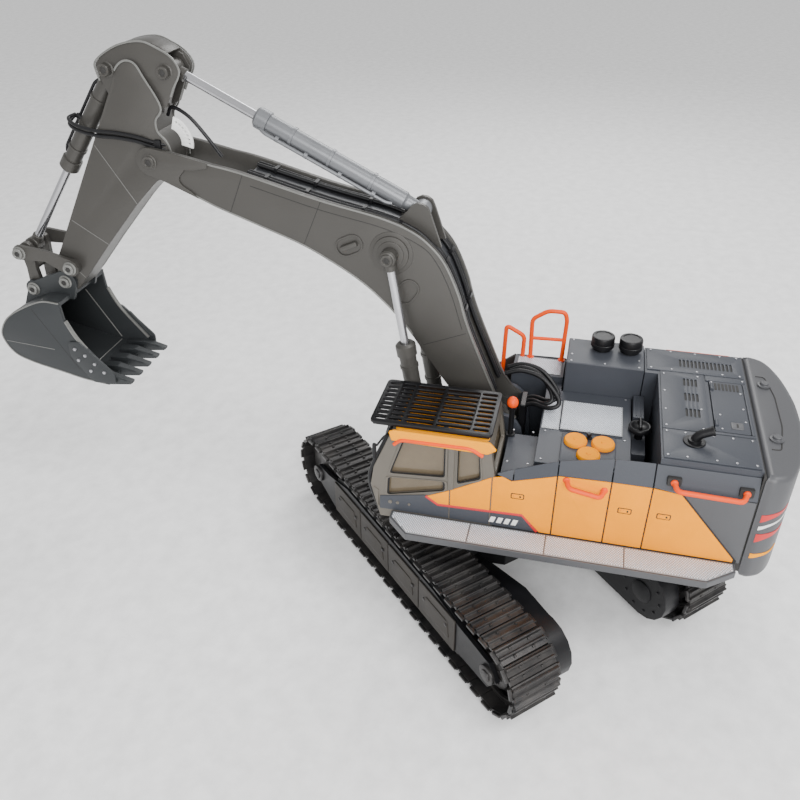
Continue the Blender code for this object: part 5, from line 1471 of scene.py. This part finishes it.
def cab():
    """Cab shell, windows, frames, wiper, mirror, roof and beacon."""
    fit_refined("cab_shell", UPPER, CAB, 0.7, 3)
    fit_refined("cab_glass", UPPER, GLASS, 0.2)
    frames, seals = [], []
    for window in SIDE_WINDOWS:
        for faces in ((PANEL_X - 0.2, PANEL_X + 0.6), (22.0, 22.6)):
            if faces[0] < 30 and window is SIDE_WINDOWS[1]:
                continue
            frames.append(plate("frame", rounded_outline(grown(window, 2.4), 3), *faces, "x",
                    [rounded_outline(grown(window, 0.4), 2.4)], 0.25))
            middle = sum(faces) / 2 - 0.5
            seals.append(plate("seal", rounded_outline(grown(window, 1.0), 2.4), middle - 0.4,
                    middle + 0.4, "x", [rounded_outline(grown(window, -0.9), 2)], 0.2))
    fit_joined("window_frames", frames, UPPER, CAB)
    fit_joined("window_seals", seals, UPPER, BLACK)
    post = [plate("post", rounded_outline(rectangle((-24.6, 118), (-20.4, 157)), 1), PANEL_X - 0.2,
            PANEL_X + 0.9, "x"), plate("sill", rounded_outline([(-74.5, 92), (-78.6, 111), (-74.4, 108)],
            1), PANEL_X - 0.2, PANEL_X + 0.6, "x")]
    fit_joined("door_post", post, UPPER, CAB)
    front = [(-74.6, 88), (-81.2, 112), (-78.7, 128), (-65.5, 160.4)]
    bars = []
    for x in (25.5, PANEL_X - 2.6):
        bars.append(tube("bar", smooth_route([(x, *point) for point in front], 24), 1.7, resolution=4))
    for y, z in (front[0], (-80.4, 118), front[3]):
        bars.append(tube("bar", [(25.5, y, z), (PANEL_X - 2.6, y, z)], 1.6, resolution=4))
    bars.append(tube("wiper", [(52, -81.0, 121), (40, -73.6, 142)], 0.5, resolution=3))
    fit_joined("windshield_frame", bars, UPPER, BLACK)
    panes = [slab("pane", [(27, -76.2, 92), (27, -81.2, 116), (75, -81.2, 116), (75, -76.2, 92)], 0.8,
            0.1), slab("pane", [(27, -80.2, 119), (27, -66.2, 158.6), (75, -66.2, 158.6),
            (75, -80.2, 119)], 0.8, 0.1)]
    fit_joined("windshield", panes, UPPER, GLASS)
    mirror = [tube("arm", rounded([(76, -66, 158), (81, -69, 158), (81.5, -74, 150)], 3), 0.8),
            box("mirror", (79.6, -77.4, 138), (82.4, -74.6, 151), 1.0)]
    fit_joined("cab_mirror", mirror, UPPER, BLACK)
    knobs = []
    for index, y in enumerate((-66, -60.5, -52)):
        knobs.append(disc("knob", (PANEL_X + 0.6, y, 99), (1, 0, 0), 1.5 - index * 0.25, 0.7, 0.2, 16))
    fit_joined("cab_lamps", knobs, UPPER, CAB)
    seat()
    fit_refined("roof_trim", UPPER, TRIM, 0.8, 3)
    strip = rounded([(81.2, -62, 152.5), (81.2, -57.5, 157), (81.2, -9, 157.6), (81.2, -1, 152.6)], 4, 6)
    fit(tube("roof_strip", strip, 1.25, resolution=5), UPPER, ORANGE)
    fit(plate("roof_panel", rounded_outline(rectangle((25, -62), (PANEL_X - 1, 2)), 3), 161.8, 162.6),
            UPPER, TRIM)
    guard()
    x, y = 26, 11.5
    lamp = lathe("beacon_base", (x, y, 134.4), (x, y, 160), [(0, 3.4), (1, 3.4), (1.4, 1.9), (22.5, 1.9),
            (23, 3.2), (25, 3.4), (25.4, 3)], 28)
    fit(lamp, UPPER, BLACK)
    dome = [(0, 3.0), (1, 3.8), (2.8, 4.1), (4.6, 3.8), (6.2, 2.8), (7.2, 1.5), (7.5, 0.3)]
    fit(lathe("beacon_finish", (x, y, 159.2), (x, y, 167), dome, 32), UPPER, ORANGE, "beacon")


def guard():
    """The slotted roof guard on its two bars."""
    slots = []
    for row in range(9):
        x = 28.0 + row * 5.5
        for low, high in ((-76, -70.5), (-66, -59.5), (-55, -38), (-33.5, -13), (-8.5, -0.5)):
            slots.append(obround((x, low), (x, high), 1.55, 4))
    top = plate("top", rounded_outline(rectangle((22.8, -80), (77.2, 3.8)), 4), 165.2, 167.4, "z", slots,
            0.3)
    pieces = [top]
    for low, high in ((24, 26.4), (73.6, 76)):
        pieces.append(box("rail", (low, -78, 163.6), (high, 2, 166), 0.4))
    for x in (31, 71):
        for y in (-57, -28):
            pieces.append(box("foot", (x - 1.4, y - 1.6, 162.3), (x + 1.4, y + 1.6, 166), 0.4))
    fit_joined("cab_guard_finish", pieces, UPPER, BLACK, "cab_guard")


def seat():
    """A stuffed seat with a back rest and head rest, between two consoles."""
    cushions = []
    for low, high in (((39, -39, 92), (61, -14, 104)), ((40, -17, 103), (60, -9, 133)),
            ((43, -15.5, 134), (57, -9.5, 141))):
        cushion = box("cushion", low, high, 0)
        soft = cushion.modifiers.new("soft", "SUBSURF")
        soft.levels = soft.render_levels = 3
        crease = cushion.data.attributes.new("crease_edge", "FLOAT", "EDGE")
        for value in crease.data:
            value.value = 0.45
        cushions.append(cushion)
    made = fit_joined("seat_cushions", cushions, UPPER, BLACK, "cab_seat")
    frame_parts = [box("pan", (40, -36, 87.4), (60, -13, 92.5), 1)]
    for x in (33.5, 64.5):
        frame_parts.append(box("console", (x - 2.6, -44, 87.4), (x + 2.6, -14, 112), 1.4))
        frame_parts.append(tube("lever", [(x, -40, 111), (x, -42, 121)], 0.7))
        frame_parts.append(lathe("knob", (x, -42, 120), (x, -42.6, 124),
                [(0, 1), (1, 1.8), (3, 1.8), (4, 1)], 16))
    fit_joined("seat_consoles", frame_parts, UPPER, WEIGHT)


def handrails():
    """The two orange rails beside the right boxes."""
    high = rounded([(-70, 15, 145.4), (-70, 14, 180), (-70, 26, 188.5), (-70, 39, 188.5), (-70, 41, 182),
            (-70, 40, 145.4)], 4, 6)
    rails = [tube("rail", high, 1.75, resolution=5), tube("bar", [(-70, 14.6, 163), (-70, 40.4, 164)],
            1.45, resolution=5)]
    for y in (15, 40):
        rails.append(lathe("foot", (-70, y, 145.2), (-70, y, 148), [(0, 2.8), (0.8, 2.8), (1.1, 1.6),
                (2.6, 1.5)], 20))
    fit_joined("handrail_high_finish", rails, UPPER, ORANGE, "handrail_high")
    low = rounded([(-70, -7, 118.4), (-70, -6, 172), (-70, 9, 164), (-70, 8.6, 145.4)], 4, 6)
    fit(tube("handrail_low_finish", low, 1.75, resolution=5), UPPER, ORANGE, "handrail_low")


def inner_parts():
    """Guessed pieces under the hood."""
    fit_refined("battery_pack", UPPER, BLUE, 1.5, 3)
    fit_refined("control_board", UPPER, BOARD, 0.2)
    fit_refined("swing_motor", UPPER, STEEL, 0.6)


def superstructure():
    """Everything that turns on the slew ring except the front linkage."""
    left_side()
    right_side()
    walkways()
    deck()
    hood()
    counterweight()
    cab()
    handrails()
    inner_parts()


add_camera()
free_hoses()
add_studio()
undercarriage()
superstructure()
front_linkage()
